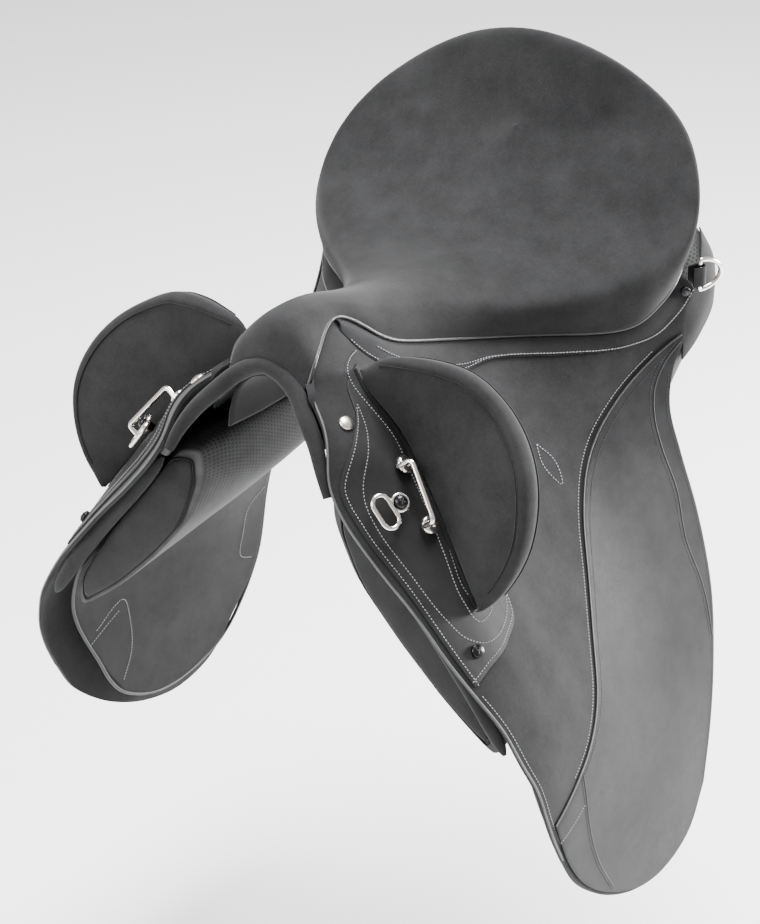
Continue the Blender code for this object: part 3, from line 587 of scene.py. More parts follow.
def row(yz, lift, spacing=0.002):
    """(points, normals) of a stitched line along the side surface."""
    yz = np.asarray(yz, float)
    dense = along(yz, max(8, int(length_of(on_side(yz)) / spacing)))
    return on_side(dense, lift), side_normal(dense[:, 0], dense[:, 1])


def turned(name, profile, centre, axis, material, steps=40):
    """A round piece: profile is (radius, height) points from the axis outwards and down."""
    axis = Vector(axis).normalized()
    turn = axis.to_track_quat("Z", "Y").to_matrix()
    points, faces = [], []
    for radius, height in profile:
        for k in range(steps):
            angle = 2 * math.pi * k / steps
            local = Vector((radius * math.cos(angle), radius * math.sin(angle), height))
            points.append(Vector(centre) + turn @ local)
    for j in range(len(profile) - 1):
        for k in range(steps):
            a, b = j * steps + k, j * steps + (k + 1) % steps
            faces.append((a, a + steps, b + steps, b))
    faces.append(tuple(range(steps)))
    faces.append(tuple(reversed(range((len(profile) - 1) * steps, len(profile) * steps))))
    return make(name, mesh_of(name, points, faces), material)


# ---------------------------------------------------------------- flaps


def inset(outline, y, z=0.0):
    """The outline moved by y and z."""
    return [(a + y, b + z) for a, b in outline]


def make_flaps():
    area = filled(FLAP_FRONT, FLAP_REAR, FLAP_TOP, FLAP_TIP, 70, 110)
    flap = draped("flap", area, 0.0, FLAP_THICKNESS, SUEDE, bevel=0.0011, edge=EDGE)
    pair(flap, ("flap_upper", "flap_lower"), blended=True)

    rear = inset(FLAP_REAR[1:], -0.0012)
    rear[0] = (0.1265, 0.0175)
    grip_tip = [
        (-0.194, -0.2465), (-0.182, -0.283), (-0.165, -0.313), (-0.136, -0.342), (-0.110, -0.360),
        (-0.073, -0.378), (-0.026, -0.387), (0.017, -0.3765), rear[-1],
    ]
    grip = filled(GRIP_FRONT, rear, (GRIP_FRONT[0], rear[0]), grip_tip, 40, 110)
    made = draped("grip", grip, GRIP_LIFT, GRIP_THICKNESS, SMOOTH, bevel=0.0006)
    pair(made, ("grip_upper", "grip_lower"), blended=True)

    patch = filled(PATCH_FRONT, PATCH_REAR, (PATCH_FRONT[0], PATCH_REAR[0]), PATCH_LOW, 24, 70)
    made = draped("knee_patch", patch, PATCH_LIFT, PATCH_THICKNESS, PATCH_LEATHER, bevel=0.0005)
    pair(made, ("knee_patch",))

    # A light grey line along the flap's front edge.
    binding = along(inset(FLAP_FRONT, 0.0004), 90)
    line = on_side(binding, -0.0003)
    pair(tube("front_edge_line", line, 0.0008, EDGE_LIGHT, sides=3), blended=True)


def make_seams():
    pair(tube("grip_edge", row(GRIP_FRONT, 0.0014)[0], 0.0008, EDGE, sides=2), blended=True)
    pair(tube("grip_seam", row(GRIP_SEAM, 0.0016)[0], 0.0005, EDGE, sides=2), blended=True)
    pair(tube("tip_seam", row(TIP_SEAM, 0.0016)[0], 0.0005, EDGE, sides=2), blended=True)

    on_grip, on_patch, on_flap = 0.0017, 0.0015, 0.0003
    lines = (
        inset(GRIP_FRONT[1:-1], 0.0045, -0.0035), inset(GRIP_SEAM, -0.0035), inset(TIP_SEAM, -0.0035),
        inset(FLAP_REAR[2:], -0.004),
    )
    pair(stitches("grip_stitches", [row(line, on_grip) for line in lines], THREAD_DARK), blended=True)
    rows = [row(inset(GRIP_FRONT[1:-1], -0.0030, 0.0024), 0.0002)]
    rows.append(row(inset(FLAP_FRONT[8:], 0.0045), on_flap))
    rows.append(row([(-0.150, -0.2515), (-0.173, -0.259), (-0.190, -0.2635)], on_grip))
    pair(stitches("flap_stitches", rows, THREAD), blended=True)

    lines = (
        PATCH_STITCH, inset(PATCH_FRONT[2:], 0.003), inset(PATCH_LOW, 0.0, 0.003),
        inset(PATCH_REAR[1:7], -0.0035),
    )
    patch_rows = [row(line, on_patch) for line in lines]
    patch_rows.append(row(POLEY_SEAM, 0.0016))
    lozenge = [(-0.012, -0.036), (-0.006, -0.050), (-0.012, -0.066), (-0.018, -0.050), (-0.012, -0.036)]
    patch_rows.append(row(lozenge, on_flap))
    pair(stitches("patch_stitches", patch_rows, THREAD))


# ---------------------------------------------------------------- seat and skirt

SEAT = np.array([
    # position, spine y z, rim x y z, lower edge x y z
    [0.00, -0.1895, 0.0785, 0.020, -0.1885, 0.0715, 0.0345, -0.190, 0.0585],
    [0.06, -0.180, 0.100, 0.020, -0.178, 0.094, 0.035, -0.178, 0.079],
    [0.12, -0.160, 0.107, 0.016, -0.159, 0.103, 0.029, -0.162, 0.087],
    [0.20, -0.125, 0.105, 0.013, -0.125, 0.102, 0.018, -0.127, 0.094],
    [0.30, -0.085, 0.093, 0.024, -0.084, 0.085, 0.031, -0.091, 0.069],
    [0.40, -0.040, 0.082, 0.036, -0.036, 0.071, 0.040, -0.050, 0.049],
    [0.50, 0.010, 0.077, 0.064, 0.006, 0.062, 0.064, 0.004, 0.036],
    [0.62, 0.065, 0.082, 0.116, 0.052, 0.063, 0.108, 0.053, 0.030],
    [0.72, 0.110, 0.100, 0.157, 0.096, 0.078, 0.150, 0.088, 0.032],
    [0.80, 0.134, 0.119, 0.176, 0.136, 0.098, 0.166, 0.110, 0.048],
    [0.85, 0.143, 0.129, 0.171, 0.159, 0.126, 0.170, 0.130, 0.062],
    [0.90, 0.150, 0.138, 0.149, 0.182, 0.159, 0.158, 0.163, 0.076],
    [0.94, 0.154, 0.144, 0.115, 0.196, 0.187, 0.127, 0.197, 0.081],
    [0.97, 0.157, 0.148, 0.068, 0.195, 0.213, 0.072, 0.219, 0.084],
    [1.00, 0.159, 0.151, 0.000, 0.192, 0.227, 0.000, 0.227, 0.087],
])
# The table goes on past the middle of the cantle as its own mirror image, so the rim crosses it level.
PAST = np.array([1, 1, 1, -1, 1, 1, -1, 1, 1])
BEYOND = SEAT[-2:-6:-1] * PAST
BEYOND[:, 0] = 2 - BEYOND[:, 0]
SEAT = np.concatenate([SEAT, BEYOND])
RIM_SHARE = 0.7


def seat_row(position, count):
    """One row of the seat's near half, from the spine to the lower edge."""
    values = spline(SEAT[:, 0], SEAT[:, 1:], position)[0]
    spine, rim, edge = np.array([0, values[0], values[1]]), values[2:5], values[5:8]
    t = np.linspace(0, 1, count)[:, None]
    inner = t / RIM_SHARE
    rise = np.clip(inner, 0, 1)
    deep = min(1.0, max(0.0, (position - 0.5) / 0.3))
    lift = rise**2 * (1 - deep) + (0.35 * rise**2 + 0.65 * (3 * rise**2 - 2 * rise**3) ** 1.3) * deep
    last = min(1.0, max(0.0, (position - 0.80) / 0.20))
    lift = lift * (1 - last) + rise**1.1 * last
    dish = spine + (rim - spine) * np.concatenate([rise, rise ** (1.5 - 0.5 * last), lift], axis=1)
    dish[:, 2:] += 0.010 * np.sin(np.pi * rise) * min(0, 1 - 2 * position) * (1 - 0.5 * rise)
    s = np.clip((t - RIM_SHARE) / (1 - RIM_SHARE), 0, 1)
    fall = (1 - np.cos(s * np.pi / 2)) * deep + s * (1 - deep)
    wall = rim + (edge - rim) * np.concatenate([s, s, fall], axis=1)
    bulge = np.sin(np.pi * s) * np.array([0.008 * min(1, 8 * rim[0]), 0.004 * position**6, 0])
    shape = np.where(t <= RIM_SHARE, dish, wall + bulge)
    for _ in range(10):
        shape[1:-1] = shape[1:-1] * 0.5 + (shape[:-2] + shape[2:]) * 0.25
        shape[0, 2] = shape[0, 2] * 0.5 + shape[1, 2] * 0.5
    return shape


def seat_edge(position):
    return spline(SEAT[:, 0], SEAT[:, 6:9], position)


def make_seat():
    positions = 1 - (1 - np.linspace(0, 1, 150)) ** 1.15
    near = np.array([seat_row(p, 56) for p in positions])
    off = near[:, :0:-1] * np.array([-1, 1, 1])
    seat = sheet("seat", np.concatenate([off, near], axis=1), SEAT_THICKNESS, SUEDE, bevel=0)
    shape = bmesh.new()
    shape.from_mesh(seat.data)
    bmesh.ops.remove_doubles(shape, verts=shape.verts, dist=0.00005)
    shape.to_mesh(seat.data)
    shape.free()
    single(seat, ("seat_cover",))

    line = seat_edge(np.linspace(0.012, 0.985, 260)) + np.array([0.0014, 0, 0])
    pair(tube("seat_welt", line, 0.0017, WELT), ("seat_welt",))

    hem_line = along(SKIRT_HEM, 120)
    bottom = on_side(hem_line, 0.0003 + 0.0017 * np.clip((hem_line[:, 0] + 0.115) / 0.035, 0, 1))
    top = seat_edge(np.linspace(0.200, 0.862, 120)) - np.array([0, 0, 0.0018])
    share = np.linspace(0, 1, 15)[:, None, None]
    skirt = top[None] * (1 - share) + bottom[None] * share + np.sin(share * np.pi) * 0.0016
    pair(sheet("skirt", skirt, SKIRT_THICKNESS, SUEDE, bevel=0.0005), ("skirt",))
    facing = np.gradient(skirt, axis=1)
    normal = np.cross(facing, np.gradient(skirt, axis=0))
    normal /= np.linalg.norm(normal, axis=2)[:, :, None]
    normal *= np.sign(normal[:, :, :1])
    hem = [(skirt[13, 4:-2] + normal[13, 4:-2] * 0.0008, normal[13, 4:-2])]
    middle, low = skirt[8, 14:], skirt[13, 14:]
    line = middle + (low - middle) * np.clip(np.linspace(0, 2.2, 106), 0, 1)[:, None] ** 1.3
    hem.append((line + normal[10, 14:] * 0.0009, normal[10, 14:]))
    pair(stitches("skirt_stitches", hem, THREAD))


# ---------------------------------------------------------------- padded pieces


def loft(name, rings, material, levels=1):
    """A smooth closed solid through rings of points. Its caps are quads of a grid across the ring."""
    count = len(rings[0])
    points = [p for ring in rings for p in ring]
    faces = []
    for j in range(len(rings) - 1):
        for i in range(count):
            a, b = j * count + i, j * count + (i + 1) % count
            faces.append((a, b, b + count, a + count))
    for ring, flip in ((0, True), (len(rings) - 1, False)):
        start = ring * count
        for i in range(1, count // 2):
            quad = (start + i - 1, start + i, start + count - 1 - i, start + count - i)
            faces.append(quad if not flip else tuple(reversed(quad)))
    mesh = mesh_of(name, points, faces)
    shape = bmesh.new()
    shape.from_mesh(mesh)
    bmesh.ops.recalc_face_normals(shape, faces=shape.faces)
    shape.to_mesh(mesh)
    shape.free()
    piece = make(name, mesh, material)
    if levels:
        sub = piece.modifiers.new("smooth", "SUBSURF")
        sub.levels = sub.render_levels = levels
    return piece


def make_poley():
    count, rings = 64, []
    base = along(POLEY_BASE, count)
    free = along(POLEY_EDGE, count)
    root = on_side(base, 0.003)
    u = np.linspace(-1, 1, count)
    normals = side_normal(base[:, 0], base[:, 1])
    span = free - root
    tangent = np.gradient(free, axis=0)
    face = np.cross(span, tangent)
    face /= np.linalg.norm(face, axis=1)[:, None]
    if face[count // 2, 1] > 0:
        face = -face
    free = free + face * (0.010 * (1 - u**4))[:, None] - np.array([0, 0, 0.002])
    span = free - root
    thick = 0.020 * np.sqrt(np.clip(1 - np.abs(u) ** 3, 0.03, 1))
    for k in range(count):
        ring = []
        across = span[k]
        reach = np.linalg.norm(across)
        for v in np.linspace(0, 1, 14):
            bulge = 0.0035 * math.sin(math.pi * min(1, v * 1.05)) * (1 - u[k] ** 4)
            ring.append(root[k] + across * v + face[k] * bulge)
        rim = across / reach
        depth = -face[k] * thick[k]
        for angle in (0.25, 0.5, 0.75):
            ring.append(free[k] + depth * angle + rim * 0.0045 * math.sin(math.pi * angle))
        for v in np.linspace(1, 0, 12):
            swell = 0.004 * math.sin(math.pi * v) * (1 - u[k] ** 4)
            point = root[k] + across * v + depth + -face[k] * swell
            if v < 0.25:
                height = (point - root[k]) @ normals[k]
                point = point + normals[k] * max(0, -height + 0.001)
            ring.append(point)
        ring = np.array(ring)
        end = min(k, count - 1 - k) + 1
        if end < 6:
            middle = ring.mean(axis=0)
            ring = middle + (ring - middle) * math.sqrt(1 - (1 - end / 6) ** 2)
        rings.append(ring)
    piece = loft("poley", rings, SUEDE, levels=1)
    pair(piece, ("poley",))
    outward = span / np.linalg.norm(span, axis=1)[:, None]
    seam = free - outward * 0.0055 + face * 0.0009
    pair(tube("poley_seam", seam[5:-5], 0.0007, SEAM_AND_SHADE_SUEDE, sides=2))
    back_seam = free - face * (thick - 0.001)[:, None] * 0.92 + outward * 0.002
    pair(tube("poley_back_seam", back_seam[5:-5], 0.0009, SEAM_AND_SHADE_SUEDE, sides=2))
    # A dark suede tube along the poley's base line: painted shade where the poley stands out from the flap.
    foot = on_side(along(POLEY_BASE, 60), 0.0022)
    pair(tube("poley_base_shade", foot, 0.0016, SEAM_AND_SHADE_SUEDE, sides=3))


PANEL_Y = (-0.198, -0.140, -0.060, 0.030, 0.110, 0.170, 0.232, 0.262)
NONE = None
PANEL = (
    ((0.056, -0.004), (0.056, -0.030), (0.076, -0.078), (0.118, -0.126), (0.165, -0.172), (0.2135, -0.2085),
     (NONE, -0.180), (NONE, -0.110), (NONE, -0.055), (NONE, -0.008)),
    ((0.046, 0.006), (0.048, -0.050), (0.080, -0.086), (0.120, -0.122), (0.162, -0.156), (0.203, -0.182),
     (NONE, -0.156), (NONE, -0.100), (NONE, -0.050), (NONE, 0.000)),
    ((0.036, 0.004), (0.044, -0.044), (0.076, -0.070), (0.110, -0.098), (0.145, -0.124), (0.174, -0.145),
     (NONE, -0.126), (NONE, -0.088), (NONE, -0.046), (NONE, -0.006)),
    ((0.034, 0.004), (0.042, -0.036), (0.074, -0.054), (0.104, -0.074), (0.131, -0.093), (0.152, -0.106),
     (NONE, -0.092), (NONE, -0.064), (NONE, -0.036), (NONE, -0.010)),
    ((0.034, 0.010), (0.042, -0.024), (0.074, -0.034), (0.106, -0.044), (0.138, -0.052), (0.170, -0.052),
     (NONE, -0.036), (NONE, -0.022), (NONE, -0.010), (0.140, 0.006)),
    ((0.036, 0.030), (0.044, -0.014), (0.074, -0.022), (0.102, -0.028), (0.130, -0.030), (0.156, -0.026),
     (0.169, -0.004), (0.170, 0.018), (0.164, 0.036), (0.110, 0.040)),
    ((0.050, 0.060), (0.052, 0.002), (0.070, -0.010), (0.092, -0.015), (0.114, -0.014), (0.136, -0.004),
     (0.148, 0.016), (0.147, 0.042), (0.134, 0.066), (0.094, 0.074)),
    ((0.078, 0.046), (0.078, 0.026), (0.084, 0.018), (0.094, 0.014), (0.104, 0.014), (0.114, 0.020),
     (0.120, 0.030), (0.118, 0.042), (0.108, 0.050), (0.092, 0.052)),
)


def sweat_depth(z):
    t = np.clip((-0.14 - np.asarray(z, float)) / 0.15, 0, 1)
    return -0.0155 - 0.010 * t * t * (3 - 2 * t)


def under_sweat(y, z):
    return float((side_width(y, z) + (sweat_depth(z) - 0.0055) / side_normal(y, z)[:, 0])[0])


def panel_section(y):
    """The near panel's section at y as a closed ring with rounded corners."""
    ring = []
    for k in range(len(PANEL[0])):
        rows = [row[k] for row in PANEL]
        covered = max([s for s, r in zip(PANEL_Y, rows) if r[0] is None], default=-1)
        places = [(under_sweat(s, r[1]) if r[0] is None else r[0], r[1]) for s, r in zip(PANEL_Y, rows)]
        x, z = hermite(PANEL_Y, np.array(places), y)[0]
        ring.append((under_sweat(y, z) if y <= covered else x, y, z))
    ring = np.array(ring)
    nose = np.clip((-0.160 - y) / 0.038, 0, 1)
    anchor = np.array([ring[7, 0] - 0.010, y, ring[7, 2] - 0.005])
    ring = anchor + (ring - anchor) * (1 - 0.07 * (1 - math.sqrt(1 - nose**2)) - 0.02 * nose)
    fine = []
    for i in range(len(ring)):
        before, here, after = ring[i - 1], ring[i], ring[(i + 1) % len(ring)]
        fine.append(here + (before - here) * 0.30)
        fine.append(here * 0.9 + (before + after) * 0.05)
        fine.append(here + (after - here) * 0.30)
        fine.append((here + after) / 2)
    return np.array(fine)


def make_panels():
    nose = -0.160 - 0.038 * np.sin(np.linspace(math.pi / 2, 0.1, 10))
    stations = np.concatenate([nose, np.linspace(-0.150, 0.20, 30), np.linspace(0.212, 0.2615, 8)])
    rings = [panel_section(y) for y in stations]
    count = len(rings[0])
    piece = loft("panel", rings, PERFORATED, levels=1)
    add_metres(piece, np.stack([run_of(np.array(rings), 1).ravel(), np.repeat(stations, count)], axis=1))
    pair(piece, ("panel",))

    front = rings[0]
    centre = front.mean(axis=0) * 0.5 + front[6 * 4 + 1] * 0.25 + front[8 * 4 + 1] * 0.25
    face = []
    for share, y in ((0.91, -0.1970), (0.90, -0.2000), (0.84, -0.2014), (0.60, -0.2024), (0.25, -0.2027)):
        ring = centre + (front - centre) * share
        ring[:, 1] = y
        face.append(ring)
    pair(loft("front_gusset", face, SUEDE, levels=1), ("front_gusset",))
    edge = centre + (front - centre) * 0.915
    edge[:, 1] = -0.1990
    edge = along(np.concatenate([edge, edge[:1]]), 160)[:-1]
    pair(tube("gusset_welt", edge, 0.0008, SEAM_AND_SHADE_SUEDE, closed=True, sides=3))

    z = np.linspace(-0.016, -0.178, 60)
    roll = on_side(np.stack([np.full_like(z, -0.2125), z], axis=1), -0.0125)
    radius = 0.0066 * np.sqrt(np.clip(1 - np.abs(np.linspace(-1, 1, 60)) ** 6, 0.05, 1))
    pair(tube("knee_roll", roll, radius, SUEDE, sides=6), ("knee_roll",))

    rear = []
    for y in np.linspace(0.145, 0.230, 24):
        ring = panel_section(y)
        outer = ring[[8 * 4 + 1, 7 * 4 + 1, 6 * 4 + 1]]
        line = along(outer, 10)
        rear.append(line + np.array([0.0032, 0.0006, 0]))
    gusset = np.array(rear)
    pair(sheet("rear_gusset", gusset[:, ::-1], 0.0015, SUEDE, bevel=0.0004), ("rear_gusset",))


def make_arch():
    half = [
        (0.0, -0.1885, 0.0735), (0.014, -0.189, 0.0695), (0.029, -0.1925, 0.0600), (0.042, -0.200, 0.0475),
        (0.0575, -0.2085, 0.0305), (0.0690, -0.2165, 0.012), (0.0760, -0.2200, -0.003),
    ]
    line = along([(-x, y, z) for x, y, z in half[:0:-1]] + half, 140)
    taper = 0.0070 - 0.0030 * np.abs(np.linspace(-1, 1, 140)) ** 3
    single(tube("arch_roll", line, taper, SUEDE, sides=7), ("arch_roll",))
    tab = on_side(along([(-0.2125, 0.008), (-0.2160, -0.001), (-0.2175, -0.008)], 12), -0.0085)
    pair(tube("arch_tab", tab, 0.0058, EDGE, sides=3))

    arch = along([(-0.038, 0.0095), (-0.035, 0.026), (-0.027, 0.046), (-0.013, 0.059), (0.0, 0.062),
                  (0.013, 0.059), (0.027, 0.046), (0.035, 0.026), (0.038, 0.0095)], 61)
    stations = np.linspace(-0.186, 0.142, 80)
    base = hermite([-0.178, 0.050, 0.110, 0.142], [0.0095, 0.0095, 0.0135, 0.024], stations)
    tall = hermite([-0.178, -0.095, -0.030, 0.142], [1.0, 0.85, 0.42, 0.42], stations)
    spread = hermite([-0.186, -0.16, -0.10, 0.142], [1.12, 1.03, 1.0, 1.0], stations)
    lining = np.array([
        np.stack([arch[:, 0] * w, np.full(61, y), b + (arch[:, 1] - 0.0095) * h], axis=1)
        for y, b, h, w in zip(stations, base, tall, spread)
    ])
    single(sheet("gullet_lining", lining, 0.002, SUEDE, bevel=0), ("gullet_lining",))


# ---------------------------------------------------------------- under the flaps


def upright(front, rear, top, low, columns, rows):
    """An area with straight sides at front and rear, a level top, and the outline low as its lower end."""
    return filled(
        ((front, top), low[0]), ((rear, top), low[-1]), ((front, top), (rear, top)), low, columns, rows
    )


BILLET_HALF = 0.0125
BILLET_TOP, BILLET_LOW, BILLET_CUT = -0.100, -0.3145, 0.006
BILLET_HOLES, FIRST_HOLE, HOLE_STEP = 9, -0.165, 0.016
HOLE_PROFILE = ((0.0021, 0.0006), (0.0026, 0.0006), (0.0028, 0.0))


def make_billet(name, middle):
    """A strap with cut corners at its lower end and a row of holes, each a dark metal disc on the strap:
    painted shade for the hole.
    """
    front, rear, shoulder = middle - BILLET_HALF, middle + BILLET_HALF, BILLET_LOW + BILLET_CUT
    flat = BILLET_HALF * 0.6
    low = ((front, shoulder), (middle - flat, BILLET_LOW), (middle + flat, BILLET_LOW), (rear, shoulder))
    area = upright(front, rear, BILLET_TOP, low, 10, 60)
    body = f"{name}_SIDE"
    strap = draped(name, area, BILLET_LIFT, BILLET_THICKNESS, SMOOTH, bevel=0.0008, edge=EDGE)
    pair(strap, (name,), body=body)
    # Each hole is a black metal disc on the strap's face, painted shade where the hole would be.
    for k in range(BILLET_HOLES):
        place = np.array([[middle, FIRST_HOLE - HOLE_STEP * k]])
        axis = side_normal(place[:, 0], place[:, 1])[0]
        centre = on_side(place, BILLET_LIFT - 0.0001)[0]
        pair(turned(f"{name}_hole_{k}", HOLE_PROFILE, centre, axis, BLACK_METAL, 14), body=body)


def make_under():
    area = filled(SWEAT_FRONT, SWEAT_REAR, (SWEAT_FRONT[0], SWEAT_REAR[0]), SWEAT_TIP, 40, 60)
    lift = sweat_depth(area.reshape(-1, 2)[:, 1])
    flap = draped("sweat_flap", area, lift, SWEAT_THICKNESS, INNER, bevel=0.0008, edge=EDGE)
    pair(flap, ("sweat_flap",))
    outline = np.array(list(SWEAT_FRONT) + list(SWEAT_TIP[1:-1]) + list(SWEAT_REAR[::-1]))
    trace = along(outline, 200)
    middle = on_side(trace, sweat_depth(trace[:, 1]) - SWEAT_THICKNESS / 2)
    pair(tube("sweat_binding", middle, 0.0016, EDGE, sides=3))

    marks = (
        ((-0.158, -0.250), (-0.122, -0.232), (-0.116, -0.262), (-0.117, -0.290), (-0.128, -0.318)),
        ((-0.168, -0.262), (-0.128, -0.242)),
        ((0.054, -0.196), (0.030, -0.205), (0.026, -0.232), (0.026, -0.258), (0.042, -0.268)),
    )
    rows = []
    for mark in marks:
        dense = along(mark, 40)
        inner = on_side(dense, sweat_depth(dense[:, 1]) - 0.0027)
        rows.append((inner, -side_normal(dense[:, 0], dense[:, 1])))
    pair(stitches("sweat_stitches", rows, THREAD))

    area = upright(-0.100, 0.002, -0.012, ((-0.100, -0.093), (0.002, -0.093)), 20, 20)
    web = draped("girth_web", area, WEB_LIFT, WEB_THICKNESS, WEBBING, bevel=0.0004)
    pair(web, ("girth_web",))

    for name, middle in (("front_billet", -0.078), ("rear_billet", -0.020)):
        make_billet(name, middle)

    y = np.linspace(-0.115, -0.030, 30)
    bar = on_side(np.stack([y, 0.040 - 0.24 * (y + 0.115)], axis=1), -0.0175)
    pair(tube("stirrup_bar", bar, 0.0035, NICKEL, sides=5), ("stirrup_bar",))


# ---------------------------------------------------------------- metalwork

STAPLE_UPPER, STAPLE_LOWER = (-0.168, 0.007), (-0.179, -0.030)
STAPLE_HEIGHT, STAPLE_BEND, STAPLE_RADIUS = 0.013, 0.0042, 0.0024
LUG = ((0.0040, 0.0040), (0.0062, 0.0038), (0.0072, 0.0028), (0.0075, 0.0012), (0.0074, -0.0006))
SCREW_HEAD = ((0.0010, 0.0016), (0.0024, 0.0014), (0.0031, 0.0006), (0.0031, 0.0))
KEEPER = (-0.190, -0.011)
KEEPER_PROFILE = (
    (0.0020, 0.0128), (0.0042, 0.0122), (0.0052, 0.0106), (0.0052, 0.0100), (0.0033, 0.0098), (0.0033, 0.0),
)
OVAL_RADIUS, OVAL_STRAIGHT, OVAL_WIRE, OVAL_AHEAD = 0.0068, 0.0065, 0.0019, 0.0138
EYE_RADIUS, EYE_WIRE = 0.0062, 0.0016
DEE_WIRE, DEE_HALF, DEE_DEPTH = 0.0020, 0.012, 0.0200


def at(place, lift):
    return Vector(on_side(place, lift)[0]), Vector(side_normal(*place)[0])


def cross_recess_shade(name, centre, axis, size):
    """Two crossed dark bars in the edge leather: painted shade that reads as a cross recess in a screw head.
    """
    side = axis.orthogonal().normalized()
    other = axis.cross(side)
    bars = []
    for k, direction in enumerate((side, other)):
        ends = [centre - direction * size, centre + direction * size]
        bars.append(tube(f"{name}_{k}", [tuple(p) for p in ends], size * 0.22, EDGE, sides=1))
    return bars


def make_staple():
    (upper, up_axis), (lower, low_axis) = (at(place, 0.0045) for place in (STAPLE_UPPER, STAPLE_LOWER))
    toward = (lower - upper).normalized()
    ahead = toward.cross(up_axis + low_axis).normalized()
    if ahead.y > 0:
        ahead = -ahead
    height, bend = STAPLE_HEIGHT, STAPLE_BEND
    bail = []
    for foot, rise, inward in ((upper, up_axis, toward), (lower, low_axis, -toward)):
        foot = foot + ahead * 0.0055
        leg = [foot - rise * 0.0005, foot + rise * 0.004, foot + rise * (height - bend)]
        for angle in np.radians((18, 36, 54, 72, 90)):
            up, across = height + bend * (math.sin(angle) - 1), bend * (1 - math.cos(angle))
            leg.append(foot + rise * up + inward * across)
        bail += leg if inward is toward else leg[::-1]
    pair(tube("staple", [tuple(p) for p in bail], STAPLE_RADIUS, NICKEL, sides=6), ("staple",))
    for name, foot, axis in (("upper", upper, up_axis), ("lower", lower, low_axis)):
        pair(turned(f"staple_{name}_lug", LUG, foot, axis, NICKEL))
        top = foot - ahead * 0.0022 + axis * 0.0041
        screw = turned(f"staple_{name}_screw", SCREW_HEAD, top, axis, NICKEL, 24)
        pair(screw, (f"staple_{name}_screw",))
        for bar in cross_recess_shade(f"staple_{name}_cross", top + axis * 0.00155, axis, 0.0017):
            pair(bar)


def make_ring():
    centre, axis = at(KEEPER, 0.009)
    below, above = (on_side((KEEPER[0], KEEPER[1] + step))[0] for step in (-0.01, 0.01))
    down = Vector(below - above).normalized()
    ahead = down.cross(axis)
    middle = centre + ahead * OVAL_AHEAD
    oval = []
    for k in range(72):
        angle = 2 * math.pi * (k + 0.5) / 72
        straight = math.copysign(OVAL_STRAIGHT, math.sin(angle))
        across, along_ring = OVAL_RADIUS * math.cos(angle), OVAL_RADIUS * math.sin(angle) + straight
        oval.append(tuple(middle + ahead * across + down * along_ring))
    ring = tube("oval_ring", oval, OVAL_WIRE, NICKEL, closed=True, sides=6)
    pair(ring, ("oval_ring",), body="oval_ring_SIDE")
    eye = [
        tuple(centre + (ahead * math.cos(a) + down * math.sin(a)) * EYE_RADIUS)
        for a in np.linspace(0, 2 * math.pi, 49)[:-1]
    ]
    pair(tube("ring_eye", eye, EYE_WIRE, NICKEL, closed=True, sides=5), body="oval_ring_SIDE")

    foot = Vector(on_side(KEEPER, 0.0015)[0])
    screw = turned("keeper_screw", KEEPER_PROFILE, foot, axis, BLACK_METAL)
    pair(screw, ("keeper_screw",))
    for bar in cross_recess_shade("keeper_cross", foot + axis * 0.0127, axis, 0.0026):
        pair(bar)


# A head's profile from its middle to its rim, as shares of its radius and height.
NAIL_SHARES = tuple((math.sin(a), 0.25 + 0.75 * math.cos(a)) for a in np.linspace(0.12, 1.57, 9))
SCREW_SHARES = ((0.3, 1), (0.62, 1), (0.72, 0.8), (0.86, 0.86), (1, 0.55))


def make_fasteners():
    spots = (
        ("pommel_nail", (-0.187, 0.043), 0.0002, 0.0060, 0.0034, NAIL_METAL, "nickel"),
        ("flap_screw", (-0.198, -0.110), 0.0014, 0.0052, 0.0036, BLACK_METAL, "black_steel"),
        ("rear_screw", (0.131, 0.054), 0.0002, 0.0040, 0.0030, BLACK_METAL, "black_steel"),
    )
    for name, place, lift, radius, height, look, slot in spots:
        foot, axis = at(place, lift)
        screw = name != "pommel_nail"
        shares = SCREW_SHARES if screw else NAIL_SHARES
        head = tuple((radius * out, height * up) for out, up in shares) + ((radius, -0.001),)
        pair(turned(name, head, foot, axis, look), (name,))
        if screw:
            for bar in cross_recess_shade(f"{name}_cross", foot + axis * height, axis, radius * 0.45):
                pair(bar)


def make_dee():
    bar = Vector((0.1775, 0.157, 0.058))
    out = Vector((0.45, 0.89, 0)).normalized()
    up = Vector((0, 0, 1))
    loop = [tuple(bar - up * DEE_HALF + up * 2 * DEE_HALF * k / 12) for k in range(13)]
    for k in range(41):
        angle = math.pi / 2 - math.pi * k / 40
        loop.append(tuple(bar + up * 0.013 * math.sin(angle) + out * (0.0008 + DEE_DEPTH * math.cos(angle))))
    dee = tube("rear_dee", loop, DEE_WIRE, NICKEL, closed=True, sides=6)
    pair(dee, ("rear_dee",), body="rear_dee_SIDE")
    side = out.cross(up)
    wrap = [bar - out * 0.0085 + side * 0.0036]
    turn = np.radians(np.linspace(100, -100, 22))
    wrap += [bar + (out * math.cos(a) + side * math.sin(a)) * 0.0046 for a in turn]
    wrap += [bar - out * 0.0085 - side * 0.0036]
    rows = np.array([[tuple(p + up * h) for p in wrap] for h in np.linspace(-0.0085, 0.0085, 8)])
    pair(sheet("dee_tab", rows, 0.0016, SMOOTH, bevel=0.0005, offset=0), ("dee_tab",))


# ---------------------------------------------------------------- scene


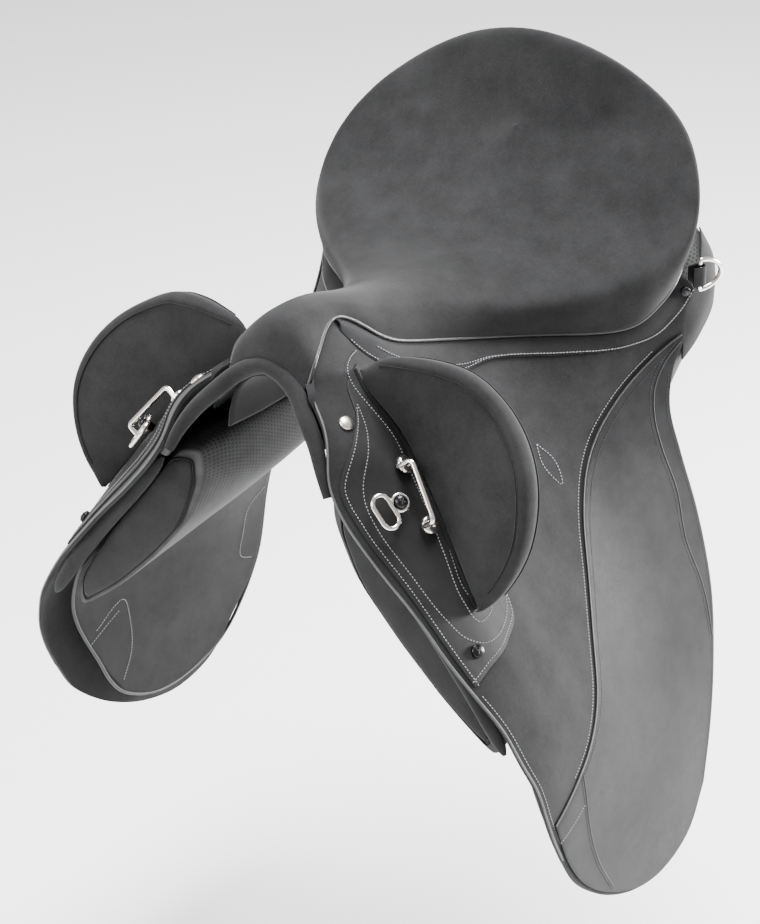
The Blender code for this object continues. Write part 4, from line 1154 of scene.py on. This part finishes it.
def finish_frame():
    """The CAD nodes that stay as they are get the looks of what they are made of."""
    looks = {
        "tree": wooden("beech"),
        "seat_foam": foamed("foam"),
        "gullet_plate": metal("plate_metal", (0.08, 0.08, 0.085), 0.4),
    }
    for node, look in looks.items():
        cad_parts[node].data.materials.clear()
        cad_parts[node].data.materials.append(look)


def area_light(name, place, target, size, power, colour=(1, 1, 1)):
    data = bpy.data.lights.new(name, "AREA")
    data.shape = "RECTANGLE"
    data.size, data.size_y = size
    data.energy = power
    data.color = colour
    light = bpy.data.objects.new(name, data)
    light.location = place
    light.rotation_euler = (Vector(target) - Vector(place)).to_track_quat("-Z", "Y").to_euler()
    bpy.context.scene.collection.objects.link(light)


def make_studio():
    corners = [(FLOOR_REACH * x, FLOOR_REACH * y, FLOOR_Z) for x, y in ((-1, -1), (1, -1), (1, 1), (-1, 1))]
    paper = Nodes("floor", (0.92, 0.92, 0.92), 0.9).made
    make("floor", mesh_of("floor", corners, [(0, 1, 2, 3)]), paper)
    world = bpy.data.worlds.new("studio")
    bpy.context.scene.world = world
    world.use_nodes = True
    world.node_tree.nodes["Background"].inputs["Color"].default_value = (1, 1, 1, 1)
    world.node_tree.nodes["Background"].inputs["Strength"].default_value = 0.75
    area_light("overhead", (0.0, 0.45, 2.4), (0, 0.0, 0), (1.3, 1.3), 250)
    area_light("right", (1.75, 1.65, 0.35), (0.18, 0, -0.08), (0.6, 0.7), 260)
    area_light("front", (-1.0, -2.4, 1.4), (0, 0, 0), (1.8, 1.8), 120)

    camera = bpy.data.objects.new("camera", bpy.data.cameras.new("camera"))
    camera.data.lens = 98.96
    camera.data.sensor_width = 36
    camera.data.sensor_fit = "AUTO"
    columns = ((0.8165, 0.5765, -0.0307), (-0.2483, 0.3987, 0.8828), (0.5211, -0.7133, 0.4687))
    matrix = Matrix(columns).transposed().to_4x4()
    matrix.translation = (1.0806, -1.5284, 0.9006)
    camera.matrix_world = matrix
    bpy.context.scene.collection.objects.link(camera)
    bpy.context.scene.camera = camera


make_flaps()
make_seams()
make_seat()
make_poley()
make_panels()
make_arch()
make_under()
make_staple()
make_ring()
make_fasteners()
make_dee()
finish_frame()
make_studio()
